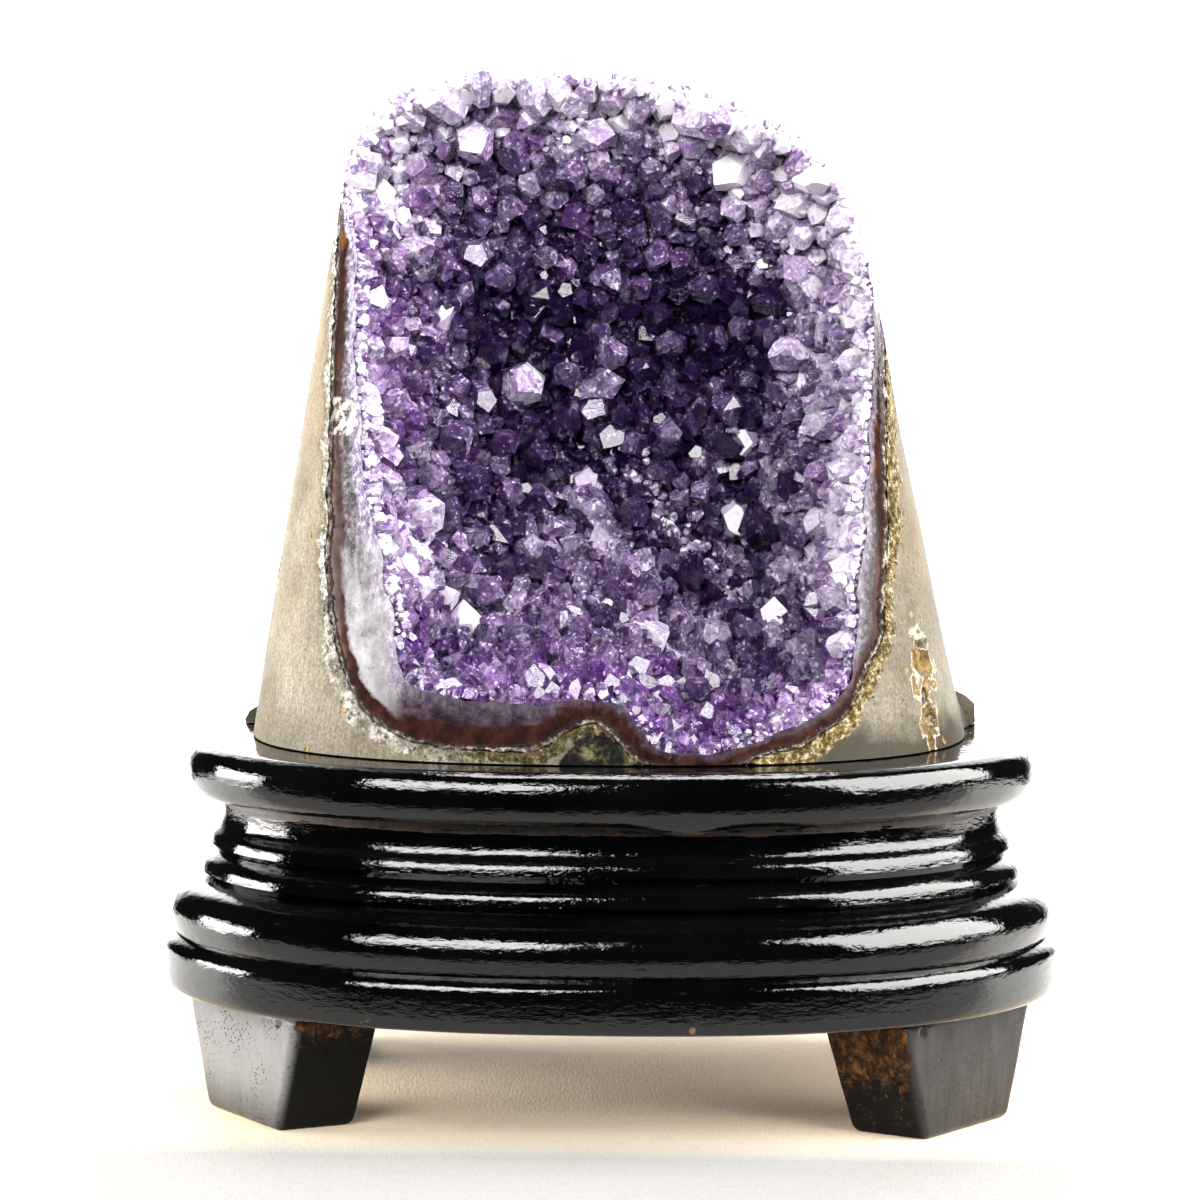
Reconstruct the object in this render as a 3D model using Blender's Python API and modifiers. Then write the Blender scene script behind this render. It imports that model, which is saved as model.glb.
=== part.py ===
"""Amethyst geode with a ground outside, resting on a lacquered wooden stand.

Metres, +Z up.  The hollow faces -Y.  The origin is on the floor, under the middle of the stand.
"""
import math
import random

import bmesh
import bpy
from mathutils import Vector, noise

# Gap between two pieces that touch
GAP = 0.0003

# Plan of the stand: an oval with a flattened front, measured at the nose of the top board
PLAN_HALF_WIDTH = 0.0962
PLAN_HALF_DEPTH = 0.0664
PLAN_EXPONENT = 2.38
PLAN_SIDES = 38

# Heights of the stand above the floor
FOOT_TOP = 0.0268
BODY_BOTTOM = FOOT_TOP + GAP
JOINT = 0.0699
TRAY_TOP = 0.0814

# Mouldings from the bottom up: how far out from the plan, and the height
LOWER_MOULDING = (
    (0.0012, BODY_BOTTOM),
    (0.0040, 0.0276),
    (0.0056, 0.0292),
    (0.0056, 0.0334),
    (0.0047, 0.0366),
    (0.0031, 0.0388),
    (0.0038, 0.0406),
    (0.0042, 0.0436),
    (0.0034, 0.0466),
    (0.0010, 0.0492),
    (-0.0024, 0.0507),
    (-0.0045, 0.0513),
    (-0.0029, 0.0528),
    (-0.0036, 0.0552),
    (-0.0064, 0.0574),
    (-0.0049, 0.0590),
    (-0.0055, 0.0612),
    (-0.0075, 0.0640),
    (-0.0078, JOINT - GAP),
)
TRAY_NOSE = (
    (-0.0066, JOINT),
    (-0.0026, 0.0702),
    (-0.0008, 0.0718),
    (0.0000, 0.0748),
    (-0.0002, 0.0780),
    (-0.0013, 0.0802),
    (-0.0032, TRAY_TOP),
)

# One foot, front right, in plan: its front corner, and how far its outer and inner faces run from there
FOOT_OUTER_FACE = math.radians(50.2)
FOOT_INNER_FACE = math.radians(155.0)
FOOT_TOP_CORNER = (0.0645, -0.0560)
FOOT_TOP_REACH = (0.0470, 0.0195)
FOOT_SOLE_CORNER = (0.0705, -0.0470)
FOOT_SOLE_REACH = (0.0290, 0.0180)
BACK_FOOT_INNER_SHARE = 0.60
FOOT_EDGE_ROUND = 0.0014

# Outside of the stone: height, left edge, right edge, front, back
STONE_BASE = TRAY_TOP + GAP
STONE_STATIONS = (
    (STONE_BASE, -0.0818, 0.0800, -0.0525, 0.0520),
    (0.1060, -0.0780, 0.0744, -0.0490, 0.0510),
    (0.1290, -0.0741, 0.0696, -0.0450, 0.0490),
    (0.1520, -0.0702, 0.0646, -0.0400, 0.0460),
    (0.1750, -0.0664, 0.0606, -0.0340, 0.0420),
    (0.1880, -0.0642, 0.0577, -0.0300, 0.0390),
    (0.2020, -0.0616, 0.0530, -0.0245, 0.0345),
    (0.2120, -0.0588, 0.0445, -0.0195, 0.0300),
    (0.2190, -0.0540, 0.0330, -0.0150, 0.0260),
    (0.2245, -0.0460, 0.0190, -0.0100, 0.0210),
    (0.2282, -0.0340, 0.0040, -0.0040, 0.0150),
    (0.2294, -0.0220, -0.0080, 0.0010, 0.0100),
)
STONE_WIDEST_Y = 0.0080
STONE_EXPONENT = 2.45
STONE_SIDES = 38
STONE_RINGS = 16
STONE_RING_EVENNESS = 0.93

# Rough natural rind on the back, and its flare at both sides of the base
RIND_START_Y = 0.0100
RIND_FULL_Y = 0.0260
RIND_LUMPS = 0.0040
RIND_LUMP_SIZE = 0.0190
RIND_SMALL_LUMP_SIZE = 0.0086
RIND_SMALL_LUMP_SHARE = 0.5
RIND_FLARE = 0.0100
RIND_FLARE_TOP = 0.0930
RIND_FLARE_SIDES = (0.45, 0.85)

# Small open pits in the ground right side: centre and half sizes
PITS = (
    ((0.0705, -0.0210, 0.1010), (0.0048, 0.0052, 0.0062)),
    ((0.0720, -0.0235, 0.0900), (0.0040, 0.0036, 0.0058)),
    ((-0.0765, -0.0080, 0.1190), (0.0022, 0.0024, 0.0030)),
)

# Outer outline of the agate lining seen from the front; it runs out over the crown
LINING_OUTLINE = (
    (-0.0612, 0.2500), (-0.0612, 0.1500), (-0.0606, 0.1180), (-0.0580, 0.1040), (-0.0520, 0.0925),
    (-0.0420, 0.0862), (-0.0300, 0.0846), (-0.0130, 0.0850), (-0.0010, 0.0905), (0.0090, 0.0848),
    (0.0260, 0.0844), (0.0420, 0.0862), (0.0530, 0.0920), (0.0592, 0.1040), (0.0612, 0.1180),
    (0.0615, 0.1500), (0.0600, 0.2500),
)
LINING_STEPS = 2
LINING_CROWN_Y = 0.0090
EDGE_RECESS = 0.0010
CUTTER_FRONT_Y = -0.0900

# Edge of the hollow, where its crystals start; at the crown it is at the stone's own edge
HOLLOW_OUTLINE = (
    (-0.0545, 0.1300), (-0.0505, 0.1080), (-0.0430, 0.0960), (-0.0310, 0.0905), (-0.0140, 0.0915),
    (-0.0010, 0.0970), (0.0100, 0.0900), (0.0300, 0.0885), (0.0430, 0.0925), (0.0520, 0.1040),
    (0.0548, 0.1280), (0.0545, 0.1560), (0.0560, 0.1800), (0.0570, 0.1960), (0.0480, 0.2120),
    (0.0340, 0.2215), (0.0190, 0.2275), (0.0000, 0.2320), (-0.0200, 0.2330), (-0.0380, 0.2300),
    (-0.0520, 0.2240), (-0.0600, 0.2140), (-0.0600, 0.2000), (-0.0560, 0.1700),
)
HOLLOW_STEPS = 2
DEEPEST = Vector((0.0110, 0.0200, 0.1620))
HOLLOW_MOUTH = Vector((0.0, -0.0600, 0.1600))
LINING_THICKNESS = 0.0060
BOWL_RINGS = 7
BOWL_SQUARENESS = 0.72

# Crystals at the crown stand this far proud of the ground outside
CROWN_PROUD = 0.0016
PROUD_START = 0.1950
PROUD_FULL = 0.2200

# Crystals of the crust: places, sizes, shares of their width, and lean from the wall's normal
CRYSTAL_SEED = 1
CRYSTAL_TRIES = 6000
CRYSTAL_CROWDING = 0.62
CRYSTAL_SPACING = 0.0114
CRYSTAL_WIDTH = (0.0120, 0.0185)
CRYSTAL_ROOT = 0.0040
CRYSTAL_PRISM = (0.0000, 0.0028)
CRYSTAL_TIP = (0.50, 0.72)
SHOULDER_SLANT = 0.18
APEX_SHIFT = 0.10
CRYSTAL_LEAN = ((-0.45, 0.45), (-0.50, 0.10), (-0.35, 0.45))
CRYSTAL_SIDES = 6
FLAT_ANGLE = math.radians(0.5)
SLOPE_STEP = 0.02

MATERIALS = {
    "ground_basalt": ((0.38, 0.34, 0.27), 0.72, 0.0),
    "amethyst_crystal": ((0.27, 0.15, 0.44), 0.12, 0.0),
    "black_lacquered_wood": ((0.012, 0.012, 0.013), 0.12, 0.0),
}


def material(name):
    """Return the named Principled material."""
    if name in bpy.data.materials:
        return bpy.data.materials[name]
    colour, roughness, metallic = MATERIALS[name]
    made = bpy.data.materials.new(name)
    made.use_nodes = True
    shader = made.node_tree.nodes["Principled BSDF"]
    shader.inputs["Base Color"].default_value = (*colour, 1.0)
    shader.inputs["Roughness"].default_value = roughness
    shader.inputs["Metallic"].default_value = metallic
    return made


def collection(name):
    """Return a new collection in the scene."""
    made = bpy.data.collections.new(name)
    bpy.context.scene.collection.children.link(made)
    return made


def object_from(bm, name, place, material_name=None):
    """Turn a bmesh into an object in the collection given, its faces pointing outwards."""
    bmesh.ops.recalc_face_normals(bm, faces=bm.faces)
    if bm.calc_volume(signed=True) < 0.0:
        bmesh.ops.reverse_faces(bm, faces=bm.faces)
    mesh = bpy.data.meshes.new(name)
    bm.to_mesh(mesh)
    bm.free()
    made = bpy.data.objects.new(name, mesh)
    place.objects.link(made)
    if material_name:
        mesh.materials.append(material(material_name))
    return made


def hide_cutter(cutter):
    cutter.hide_render = True
    cutter.display_type = "WIRE"


def boolean(target, tool, operation, self_overlap=False):
    """Add an exact Boolean modifier."""
    modifier = target.modifiers.new(tool.name, "BOOLEAN")
    modifier.object = tool
    modifier.operation = operation
    modifier.solver = "EXACT"
    modifier.use_self = self_overlap
    return modifier


def loft(rings, closed_start=True, closed_end=True):
    """Skin a stack of closed rings that have equal counts, with flat caps."""
    bm = bmesh.new()
    loops = [[bm.verts.new(point) for point in ring] for ring in rings]
    count = len(loops[0])
    for lower, upper in zip(loops, loops[1:]):
        for i in range(count):
            j = (i + 1) % count
            bm.faces.new((lower[i], lower[j], upper[j], upper[i]))
    if closed_start:
        bm.faces.new(reversed(loops[0]))
    if closed_end:
        bm.faces.new(loops[-1])
    return bm


def smooth_step(low, high, value):
    share = min(max((value - low) / (high - low), 0.0), 1.0)
    return share * share * (3.0 - 2.0 * share)


def signed_power(value, power):
    return math.copysign(abs(value) ** power, value)


def oval(offset, height):
    """Return one ring of the stand: the plan moved outwards by offset."""
    ring = []
    power = 2.0 / PLAN_EXPONENT
    for i in range(PLAN_SIDES):
        angle = math.tau * (i + 0.5) / PLAN_SIDES
        x = PLAN_HALF_WIDTH * signed_power(math.cos(angle), power)
        y = PLAN_HALF_DEPTH * signed_power(math.sin(angle), power)
        slope_x = signed_power(x / PLAN_HALF_WIDTH, PLAN_EXPONENT - 1.0) / PLAN_HALF_WIDTH
        slope_y = signed_power(y / PLAN_HALF_DEPTH, PLAN_EXPONENT - 1.0) / PLAN_HALF_DEPTH
        outwards = Vector((slope_x, slope_y, 0.0)).normalized()
        ring.append(Vector((x, y, height)) + outwards * offset)
    return ring


def moulded_board(name, moulding, place):
    """Build one board of the stand from its edge moulding."""
    bm = loft([oval(offset, height) for offset, height in moulding])
    return object_from(bm, name, place, "black_lacquered_wood")


def foot(name, side, end, place):
    """Build one glued-on foot: a cube pulled to a tapered, slanting block, its edges rounded."""
    outer_way = Vector((math.cos(FOOT_OUTER_FACE), math.sin(FOOT_OUTER_FACE)))
    inner_way = Vector((math.cos(FOOT_INNER_FACE), math.sin(FOOT_INNER_FACE)))
    bm = bmesh.new()
    bmesh.ops.create_cube(bm, size=1.0)
    for vert in bm.verts:
        if vert.co.z > 0:
            corner, reach, height = FOOT_TOP_CORNER, FOOT_TOP_REACH, FOOT_TOP
        else:
            corner, reach, height = FOOT_SOLE_CORNER, FOOT_SOLE_REACH, 0.0
        inner_reach = reach[1] if end > 0 else reach[1] * BACK_FOOT_INNER_SHARE
        plan = (Vector(corner) + outer_way * reach[0] * (vert.co.x + 0.5)
                + inner_way * inner_reach * (vert.co.y + 0.5))
        vert.co = Vector((plan.x * side, plan.y * end, height))
    made = object_from(bm, name, place, "black_lacquered_wood")
    rounding = made.modifiers.new("edge_round", "BEVEL")
    rounding.width = FOOT_EDGE_ROUND
    rounding.segments = 1
    rounding.limit_method = "ANGLE"
    return made


def curve_value(stations, column, height):
    """Read one column of the stations at a height, on a smooth curve through them."""
    last = len(stations) - 1
    i = 0
    while i < last - 1 and stations[i + 1][0] < height:
        i += 1
    before, after = stations[max(i - 1, 0)], stations[min(i + 2, last)]
    low, high = stations[i], stations[i + 1]
    span = high[0] - low[0]
    share = min(max((height - low[0]) / span, 0.0), 1.0)
    slope_low = (high[column] - before[column]) / (high[0] - before[0]) * span
    slope_high = (after[column] - low[column]) / (after[0] - low[0]) * span
    rise = high[column] - low[column]
    return (low[column] + share * slope_low
            + share ** 2 * (3.0 * rise - 2.0 * slope_low - slope_high)
            + share ** 3 * (slope_low + slope_high - 2.0 * rise))


def rind(point, outwards):
    """Move a point of the back outwards to the rough natural rind."""
    rough = smooth_step(RIND_START_Y, RIND_FULL_Y, point.y)
    lump = noise.noise(point / RIND_LUMP_SIZE)
    lump += RIND_SMALL_LUMP_SHARE * noise.noise(point / RIND_SMALL_LUMP_SIZE)
    near_base = smooth_step(RIND_FLARE_TOP, STONE_BASE, point.z)
    to_the_side = smooth_step(*RIND_FLARE_SIDES, abs(outwards.x))
    push = rough * (RIND_LUMPS * lump + RIND_FLARE * near_base * to_the_side)
    return point + outwards * push


def section_middle(front, back):
    """Return the y of a level section's widest line."""
    return min(STONE_WIDEST_Y, 0.5 * (front + back) + STONE_WIDEST_Y)


def stone_ring(height, proud=0.0):
    """Return one level ring of the stone's outside, with the crown standing proud."""
    left, right, front, back = (curve_value(STONE_STATIONS, k, height) for k in (1, 2, 3, 4))
    swell = proud * smooth_step(PROUD_START, PROUD_FULL, height)
    left, right, front, back = left - swell, right + swell, front - swell, back + swell
    power = 2.0 / STONE_EXPONENT
    ring = []
    for i in range(STONE_SIDES):
        angle = math.tau * (i + 0.5) / STONE_SIDES
        across = signed_power(math.cos(angle), power)
        along = signed_power(math.sin(angle), power)
        middle_y = section_middle(front, back)
        reach = (back - middle_y) if along > 0 else (middle_y - front)
        point = Vector((0.5 * (left + right) + 0.5 * (right - left) * across,
                        middle_y + reach * along, height + swell))
        ring.append(rind(point, Vector((across, along, 0.0)).normalized()))
    return ring


def stone_heights():
    """Return the levels of the rings, closer together towards the crown."""
    base, crown = STONE_STATIONS[0][0], STONE_STATIONS[-1][0]
    heights = []
    for i in range(STONE_RINGS):
        share = (i / (STONE_RINGS - 1)) ** STONE_RING_EVENNESS
        heights.append(base + (crown - base) * math.sin(0.5 * math.pi * share))
    return heights


def stone_outside(proud=0.0):
    return loft([stone_ring(height, proud) for height in stone_heights()])


def spline_points(points, steps, closed):
    """Return points on a smooth curve through the ones given."""
    count = len(points)
    spans = count if closed else count - 1
    made = []
    for i in range(spans):
        a, b, c, d = (points[(i + k) % count] if closed else points[min(max(i + k, 0), count - 1)]
                      for k in (-1, 0, 1, 2))
        for step in range(steps):
            t = step / steps
            made.append(tuple(
                0.5 * (2.0 * b[n] + (c[n] - a[n]) * t
                       + (2.0 * a[n] - 5.0 * b[n] + 4.0 * c[n] - d[n]) * t * t
                       + (3.0 * b[n] - a[n] - 3.0 * c[n] + d[n]) * t ** 3)
                for n in (0, 1)))
    if not closed:
        made.append(points[-1])
    return made


def front_y(x, z):
    """Return where the stone's front is behind a point seen from the front."""
    crown = STONE_STATIONS[-1][0]
    left, right, front, back = (curve_value(STONE_STATIONS, k, min(z, crown)) for k in (1, 2, 3, 4))
    across = min(abs(x - 0.5 * (left + right)) / (0.5 * (right - left)), 1.0)
    along = (1.0 - across ** STONE_EXPONENT) ** (1.0 / STONE_EXPONENT)
    middle_y = section_middle(front, back)
    return middle_y - (middle_y - front) * along


def edge_depth(x, z, inset):
    """Return how far back the bowl starts under a point of its outline."""
    return min(front_y(x, z) + EDGE_RECESS, LINING_CROWN_Y - inset)


def bowl_point(edge, share, inset):
    """Return the bowl's point: share 0 is at the outline, share 1 at the deepest place."""
    turn = 0.5 * math.pi * share
    inwards = math.cos(turn) ** BOWL_SQUARENESS
    deeper = math.sin(turn)
    floor_y = DEEPEST.y - inset
    start_y = edge_depth(*edge, inset)
    return Vector((DEEPEST.x + inwards * (edge[0] - DEEPEST.x),
                   start_y + deeper * (floor_y - start_y),
                   DEEPEST.z + inwards * (edge[1] - DEEPEST.z)))


def bowl(outline, inset):
    """Return a closed bowl that is open to the front: a prism of the outline, then the bowl."""
    rings = [[Vector((x, CUTTER_FRONT_Y, z)) for x, z in outline]]
    for i in range(BOWL_RINGS):
        share = i / BOWL_RINGS
        rings.append([bowl_point(edge, share, inset) for edge in outline])
    bm = loft(rings, closed_end=False)
    bm.verts.ensure_lookup_table()
    count = len(outline)
    last = bm.verts[-count:]
    tip = bm.verts.new((DEEPEST.x, DEEPEST.y - inset, DEEPEST.z))
    for i in range(count):
        bm.faces.new((last[i], last[(i + 1) % count], tip))
    return bm


def moved_inwards(outline, distance):
    """Return the outline moved inwards by a distance."""
    count = len(outline)
    made = []
    for i, (x, z) in enumerate(outline):
        before, after = outline[i - 1], outline[(i + 1) % count]
        along = Vector((after[0] - before[0], after[1] - before[1])).normalized()
        made.append((x - along.y * distance, z + along.x * distance))
    return made


def inside_stone(point, margin):
    """Tell whether a point in the front half is inside the stone by about a margin."""
    crown = STONE_STATIONS[-1][0]
    if point.z > crown - margin:
        return False
    left, right, front, back = (curve_value(STONE_STATIONS, k, point.z) for k in (1, 2, 3, 4))
    half, depth = 0.5 * (right - left) - margin, section_middle(front, back) - front - margin
    if min(half, depth) <= 0.0:
        return False
    across = abs(point.x - 0.5 * (left + right)) / half
    along = max(section_middle(front, back) - point.y, 0.0) / depth
    return across ** STONE_EXPONENT + along ** STONE_EXPONENT < 1.0


def crystal(bm, root, direction, width, prism, tip, spin, rng):
    """Add one closed six-sided crystal with an uneven point."""
    side = direction.orthogonal().normalized()
    up = direction.cross(side)
    levels = ((-CRYSTAL_ROOT, 0.5 * width), (prism, 0.5 * width))
    points = []
    for height, radius in levels:
        for k in range(CRYSTAL_SIDES):
            angle = spin + math.tau * k / CRYSTAL_SIDES
            slant = 0.0 if height < 0 else rng.uniform(-SHOULDER_SLANT, SHOULDER_SLANT) * width
            spoke = side * math.cos(angle) + up * math.sin(angle)
            points.append(root + direction * (height + slant) + spoke * radius)
    apex_shift = (side * rng.uniform(-1, 1) + up * rng.uniform(-1, 1)) * APEX_SHIFT * width
    points.append(root + direction * (prism + tip * width) + apex_shift)
    hull = bmesh.ops.convex_hull(bm, input=[bm.verts.new(point) for point in points])["geom"]
    verts = [item for item in hull if isinstance(item, bmesh.types.BMVert)]
    edges = [item for item in hull if isinstance(item, bmesh.types.BMEdge)]
    bmesh.ops.dissolve_limit(bm, angle_limit=FLAT_ANGLE, verts=verts, edges=edges)


def crystal_places(outline, rng):
    """Spread crystal roots over the bowl, about evenly, each with the wall's normal there."""
    places = []
    for _ in range(CRYSTAL_TRIES):
        share = rng.random() ** CRYSTAL_CROWDING
        position = rng.random() * len(outline)
        i = int(position)
        mix = position - i
        start, end = outline[i], outline[(i + 1) % len(outline)]
        edge = (start[0] + mix * (end[0] - start[0]), start[1] + mix * (end[1] - start[1]))
        root = bowl_point(edge, share, LINING_THICKNESS)
        clear = all((root - other).length > CRYSTAL_SPACING for other, _ in places)
        if clear and inside_stone(root, CRYSTAL_ROOT):
            ahead = bowl_point(edge, min(share + SLOPE_STEP, 1.0), LINING_THICKNESS)
            inner = (ahead - root).normalized()
            around = Vector((end[0] - start[0], 0.0, end[1] - start[1])).normalized()
            out = inner.cross(around).normalized()
            if out.dot(HOLLOW_MOUTH - root) < 0.0:
                out = -out
            places.append((root, out))
    return places


def crystals(outline):
    """Build every crystal of the crust as closed shells that overlap."""
    rng = random.Random(CRYSTAL_SEED)
    bm = bmesh.new()
    for root, out in crystal_places(outline, rng):
        direction = out + Vector([rng.uniform(*limits) for limits in CRYSTAL_LEAN])
        crystal(bm, root, direction.normalized(), rng.uniform(*CRYSTAL_WIDTH),
                rng.uniform(*CRYSTAL_PRISM), rng.uniform(*CRYSTAL_TIP), rng.uniform(0, math.tau), rng)
    return bm


def main():
    for old in list(bpy.data.objects):
        bpy.data.objects.remove(old, do_unlink=True)
    parts = collection("amethyst_on_stand")
    cutters = collection("cutters")

    moulded_board("lower_moulding_board", LOWER_MOULDING, parts)
    moulded_board("upper_tray_board", TRAY_NOSE, parts)
    for side, side_name in ((-1, "left"), (1, "right")):
        for end, end_name in ((1, "front"), (-1, "back")):
            foot(f"foot_{end_name}_{side_name}", side, end, parts)

    outer = spline_points(LINING_OUTLINE, LINING_STEPS, closed=False)
    inner = spline_points(HOLLOW_OUTLINE, HOLLOW_STEPS, closed=True)

    lining_space = object_from(bowl(outer, 0.0), "lining_space", cutters)
    lining_body = object_from(bowl(moved_inwards(outer, GAP), GAP), "lining_body", cutters)
    hollow = object_from(bowl(inner, LINING_THICKNESS), "hollow", cutters)
    growth = object_from(crystals(inner), "growth", cutters)
    for cutter in (lining_space, lining_body, hollow, growth):
        hide_cutter(cutter)

    basalt = object_from(stone_outside(), "basalt_matrix", parts, "ground_basalt")
    boolean(basalt, lining_space, "DIFFERENCE")
    for number, (centre, half) in enumerate(PITS):
        bm = bmesh.new()
        bmesh.ops.create_icosphere(bm, subdivisions=2, radius=1.0)
        bmesh.ops.scale(bm, vec=half, verts=bm.verts)
        bmesh.ops.translate(bm, vec=centre, verts=bm.verts)
        pit = object_from(bm, f"pit_{number}", cutters)
        hide_cutter(pit)
        boolean(basalt, pit, "DIFFERENCE")

    crust = object_from(stone_outside(CROWN_PROUD), "amethyst_crust", parts, "amethyst_crystal")
    boolean(crust, lining_body, "INTERSECT")
    boolean(hollow, growth, "DIFFERENCE", self_overlap=True)
    hollow.modifiers.new("flat_faces", "TRIANGULATE")
    boolean(crust, hollow, "DIFFERENCE", self_overlap=True)


main()
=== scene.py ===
"""Looks of an amethyst geode on its lacquered wooden stand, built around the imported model.

Metres, +Z up.  The hollow faces -Y.  Pixel places are in the photograph's 1200 x 1200 frame.
"""
import collections
import itertools
import math
import random

import bmesh
import bpy
import numpy as np
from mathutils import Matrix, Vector, noise
from mathutils.bvhtree import BVHTree


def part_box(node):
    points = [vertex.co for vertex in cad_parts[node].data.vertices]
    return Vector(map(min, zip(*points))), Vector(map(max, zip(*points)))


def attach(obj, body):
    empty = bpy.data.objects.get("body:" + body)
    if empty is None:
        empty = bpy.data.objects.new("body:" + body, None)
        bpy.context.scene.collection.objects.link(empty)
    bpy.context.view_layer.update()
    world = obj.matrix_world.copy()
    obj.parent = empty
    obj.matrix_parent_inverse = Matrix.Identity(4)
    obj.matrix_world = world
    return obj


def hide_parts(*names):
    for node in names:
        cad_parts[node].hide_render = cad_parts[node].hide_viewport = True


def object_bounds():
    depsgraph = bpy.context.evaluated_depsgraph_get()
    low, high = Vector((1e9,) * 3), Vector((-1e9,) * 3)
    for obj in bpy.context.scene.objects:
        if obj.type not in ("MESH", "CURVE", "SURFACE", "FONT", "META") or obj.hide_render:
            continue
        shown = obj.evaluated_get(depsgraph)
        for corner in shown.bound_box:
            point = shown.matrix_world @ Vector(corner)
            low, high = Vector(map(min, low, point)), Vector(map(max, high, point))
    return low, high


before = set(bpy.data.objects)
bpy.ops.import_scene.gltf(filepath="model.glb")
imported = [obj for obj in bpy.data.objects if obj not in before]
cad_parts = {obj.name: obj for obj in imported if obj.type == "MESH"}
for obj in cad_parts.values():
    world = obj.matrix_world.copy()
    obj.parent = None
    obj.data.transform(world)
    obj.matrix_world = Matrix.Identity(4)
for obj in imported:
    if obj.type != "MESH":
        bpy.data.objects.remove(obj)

cad_low, cad_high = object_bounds()

# Camera: the photograph's viewing angle
CAMERA_DISTANCE = 0.801
CAMERA_HEIGHT = 0.1890
CAMERA_PITCH = 0.096
CAMERA_YAW = 0.055
CAMERA_ASIDE = 0.00264
LENS = 106.8
SENSOR = 36.0
PICTURE_SIZE = 1200

# Outside of the stone: height, left edge, right edge, front, back
STONE_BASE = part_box("basalt_matrix")[0].z
STONE_STATIONS = np.array((
    (STONE_BASE, -0.0818, 0.0800, -0.0525, 0.0520),
    (0.1060, -0.0780, 0.0744, -0.0490, 0.0510),
    (0.1290, -0.0741, 0.0696, -0.0450, 0.0490),
    (0.1520, -0.0702, 0.0646, -0.0400, 0.0460),
    (0.1750, -0.0664, 0.0606, -0.0340, 0.0420),
    (0.1880, -0.0642, 0.0577, -0.0300, 0.0390),
    (0.2020, -0.0616, 0.0530, -0.0245, 0.0345),
    (0.2120, -0.0588, 0.0445, -0.0195, 0.0300),
    (0.2190, -0.0540, 0.0330, -0.0150, 0.0260),
    (0.2245, -0.0460, 0.0190, -0.0100, 0.0210),
    (0.2282, -0.0340, 0.0040, -0.0040, 0.0150),
    (0.2294, -0.0220, -0.0080, 0.0010, 0.0100),
))
STONE_CROWN = STONE_STATIONS[-1][0]
STONE_WIDEST_Y = 0.0080
STONE_EXPONENT = 2.45
STONE_FRONT = 260
STONE_BACK = 160
STONE_RINGS = 150
LINING_FRONT = 280
LINING_BACK = 24
LINING_RINGS = 150

# Natural rind on the back: where it starts, its lumps as pairs of size and height, its flare at the base,
# and a bit that stands out on the left: centre, radius and height
RIND_START_Y = 0.0100
RIND_FULL_Y = 0.0260
RIND_LUMPS = ((0.0190, 0.0040), (0.0086, 0.0020), (0.0036, 0.0009), (0.0016, 0.0004))
RIND_FLARE = 0.0060
RIND_FLARE_TOP = 0.0884
RIND_FLARE_RISE = 0.0030
RIND_FLARE_WANDER = (0.0045, 0.0022)
RIND_FLARE_SIDES = (0.45, 0.85)
RIND_BIT = ((-0.0815, 0.0155, 0.0812), 0.0050, 0.0036)

# Dark eye of basalt under the arch of the lining: centre and half sizes
EYE = (-0.0008, 0.0822, 0.0062, 0.0056)

# Open pits in the ground sides: centre and half sizes
PITS = (
    ((0.0705, -0.0210, 0.1020), (0.0036, 0.0034, 0.0056)),
    ((0.0712, -0.0240, 0.0905), (0.0026, 0.0026, 0.0062)),
    ((-0.0765, -0.0080, 0.1190), (0.0022, 0.0024, 0.0030)),
)
PIT_DEPTH = 0.0028
PIT_WANDER = 1.2
PIT_WANDER_SIZE = 0.0035
PIT_FLOOR_SIZE = 0.0012
PIT_HOLLOW = (1.15, 0.75)
PIT_STAIN = (1.7, 0.9)

# Outer outline of the agate lining seen from the front; it runs out over the crown
LINING_OUTLINE = (
    (-0.0612, 0.2500), (-0.0612, 0.1500), (-0.0606, 0.1180), (-0.0580, 0.1040), (-0.0520, 0.0925),
    (-0.0420, 0.0862), (-0.0300, 0.0846), (-0.0130, 0.0850), (-0.0010, 0.0905), (0.0082, 0.0825),
    (0.0140, 0.0800), (0.0270, 0.0800), (0.0340, 0.0826), (0.0440, 0.0858), (0.0530, 0.0920),
    (0.0592, 0.1040), (0.0612, 0.1180), (0.0615, 0.1500), (0.0600, 0.2500),
)
LINING_CROWN_Y = 0.0090
WANDER_SIZES = (0.0075, 0.0028)
LINING_WANDER = 0.0007
LINING_SEED = 0.03
CRYSTAL_WANDER = 0.0012
CRYSTAL_LINE_SEED = 0.13
CRUMBLE_REACH = 0.0016
CRUMBLE_DEPTH = 0.0006
CRUMBLE_SIZES = (0.0016, 0.0007)
WALL_BEHIND = 0.0008
EDGE_RECESS = 0.0010
CUTTER_FRONT_Y = -0.0900
CUTTER_RINGS = 14

# Broken white spot on the lip's left: lowest and highest place
WHITE_BREAK = (0.1500, 0.1580)

# Where crystals start inside the polished lip: pixels from the upper left down and round,
# then the crown in metres
CRYSTAL_LINE_PIXELS = (
    (355, 250), (354, 330), (360, 420), (366, 500), (380, 560), (392, 620), (396, 665), (425, 690),
    (470, 702), (530, 704), (575, 700), (612, 704), (636, 722), (656, 748), (690, 757), (730, 752),
    (768, 736), (812, 716), (842, 694), (854, 655), (860, 590), (864, 520), (870, 440), (874, 360),
    (871, 290),
)
CRYSTAL_LINE_CROWN = (
    (0.0570, 0.1960), (0.0480, 0.2120), (0.0340, 0.2215), (0.0190, 0.2275), (0.0000, 0.2320),
    (-0.0200, 0.2330), (-0.0380, 0.2300), (-0.0520, 0.2240), (-0.0600, 0.2140), (-0.0600, 0.2000),
)
OUTLINE_STEPS = 8

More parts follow.
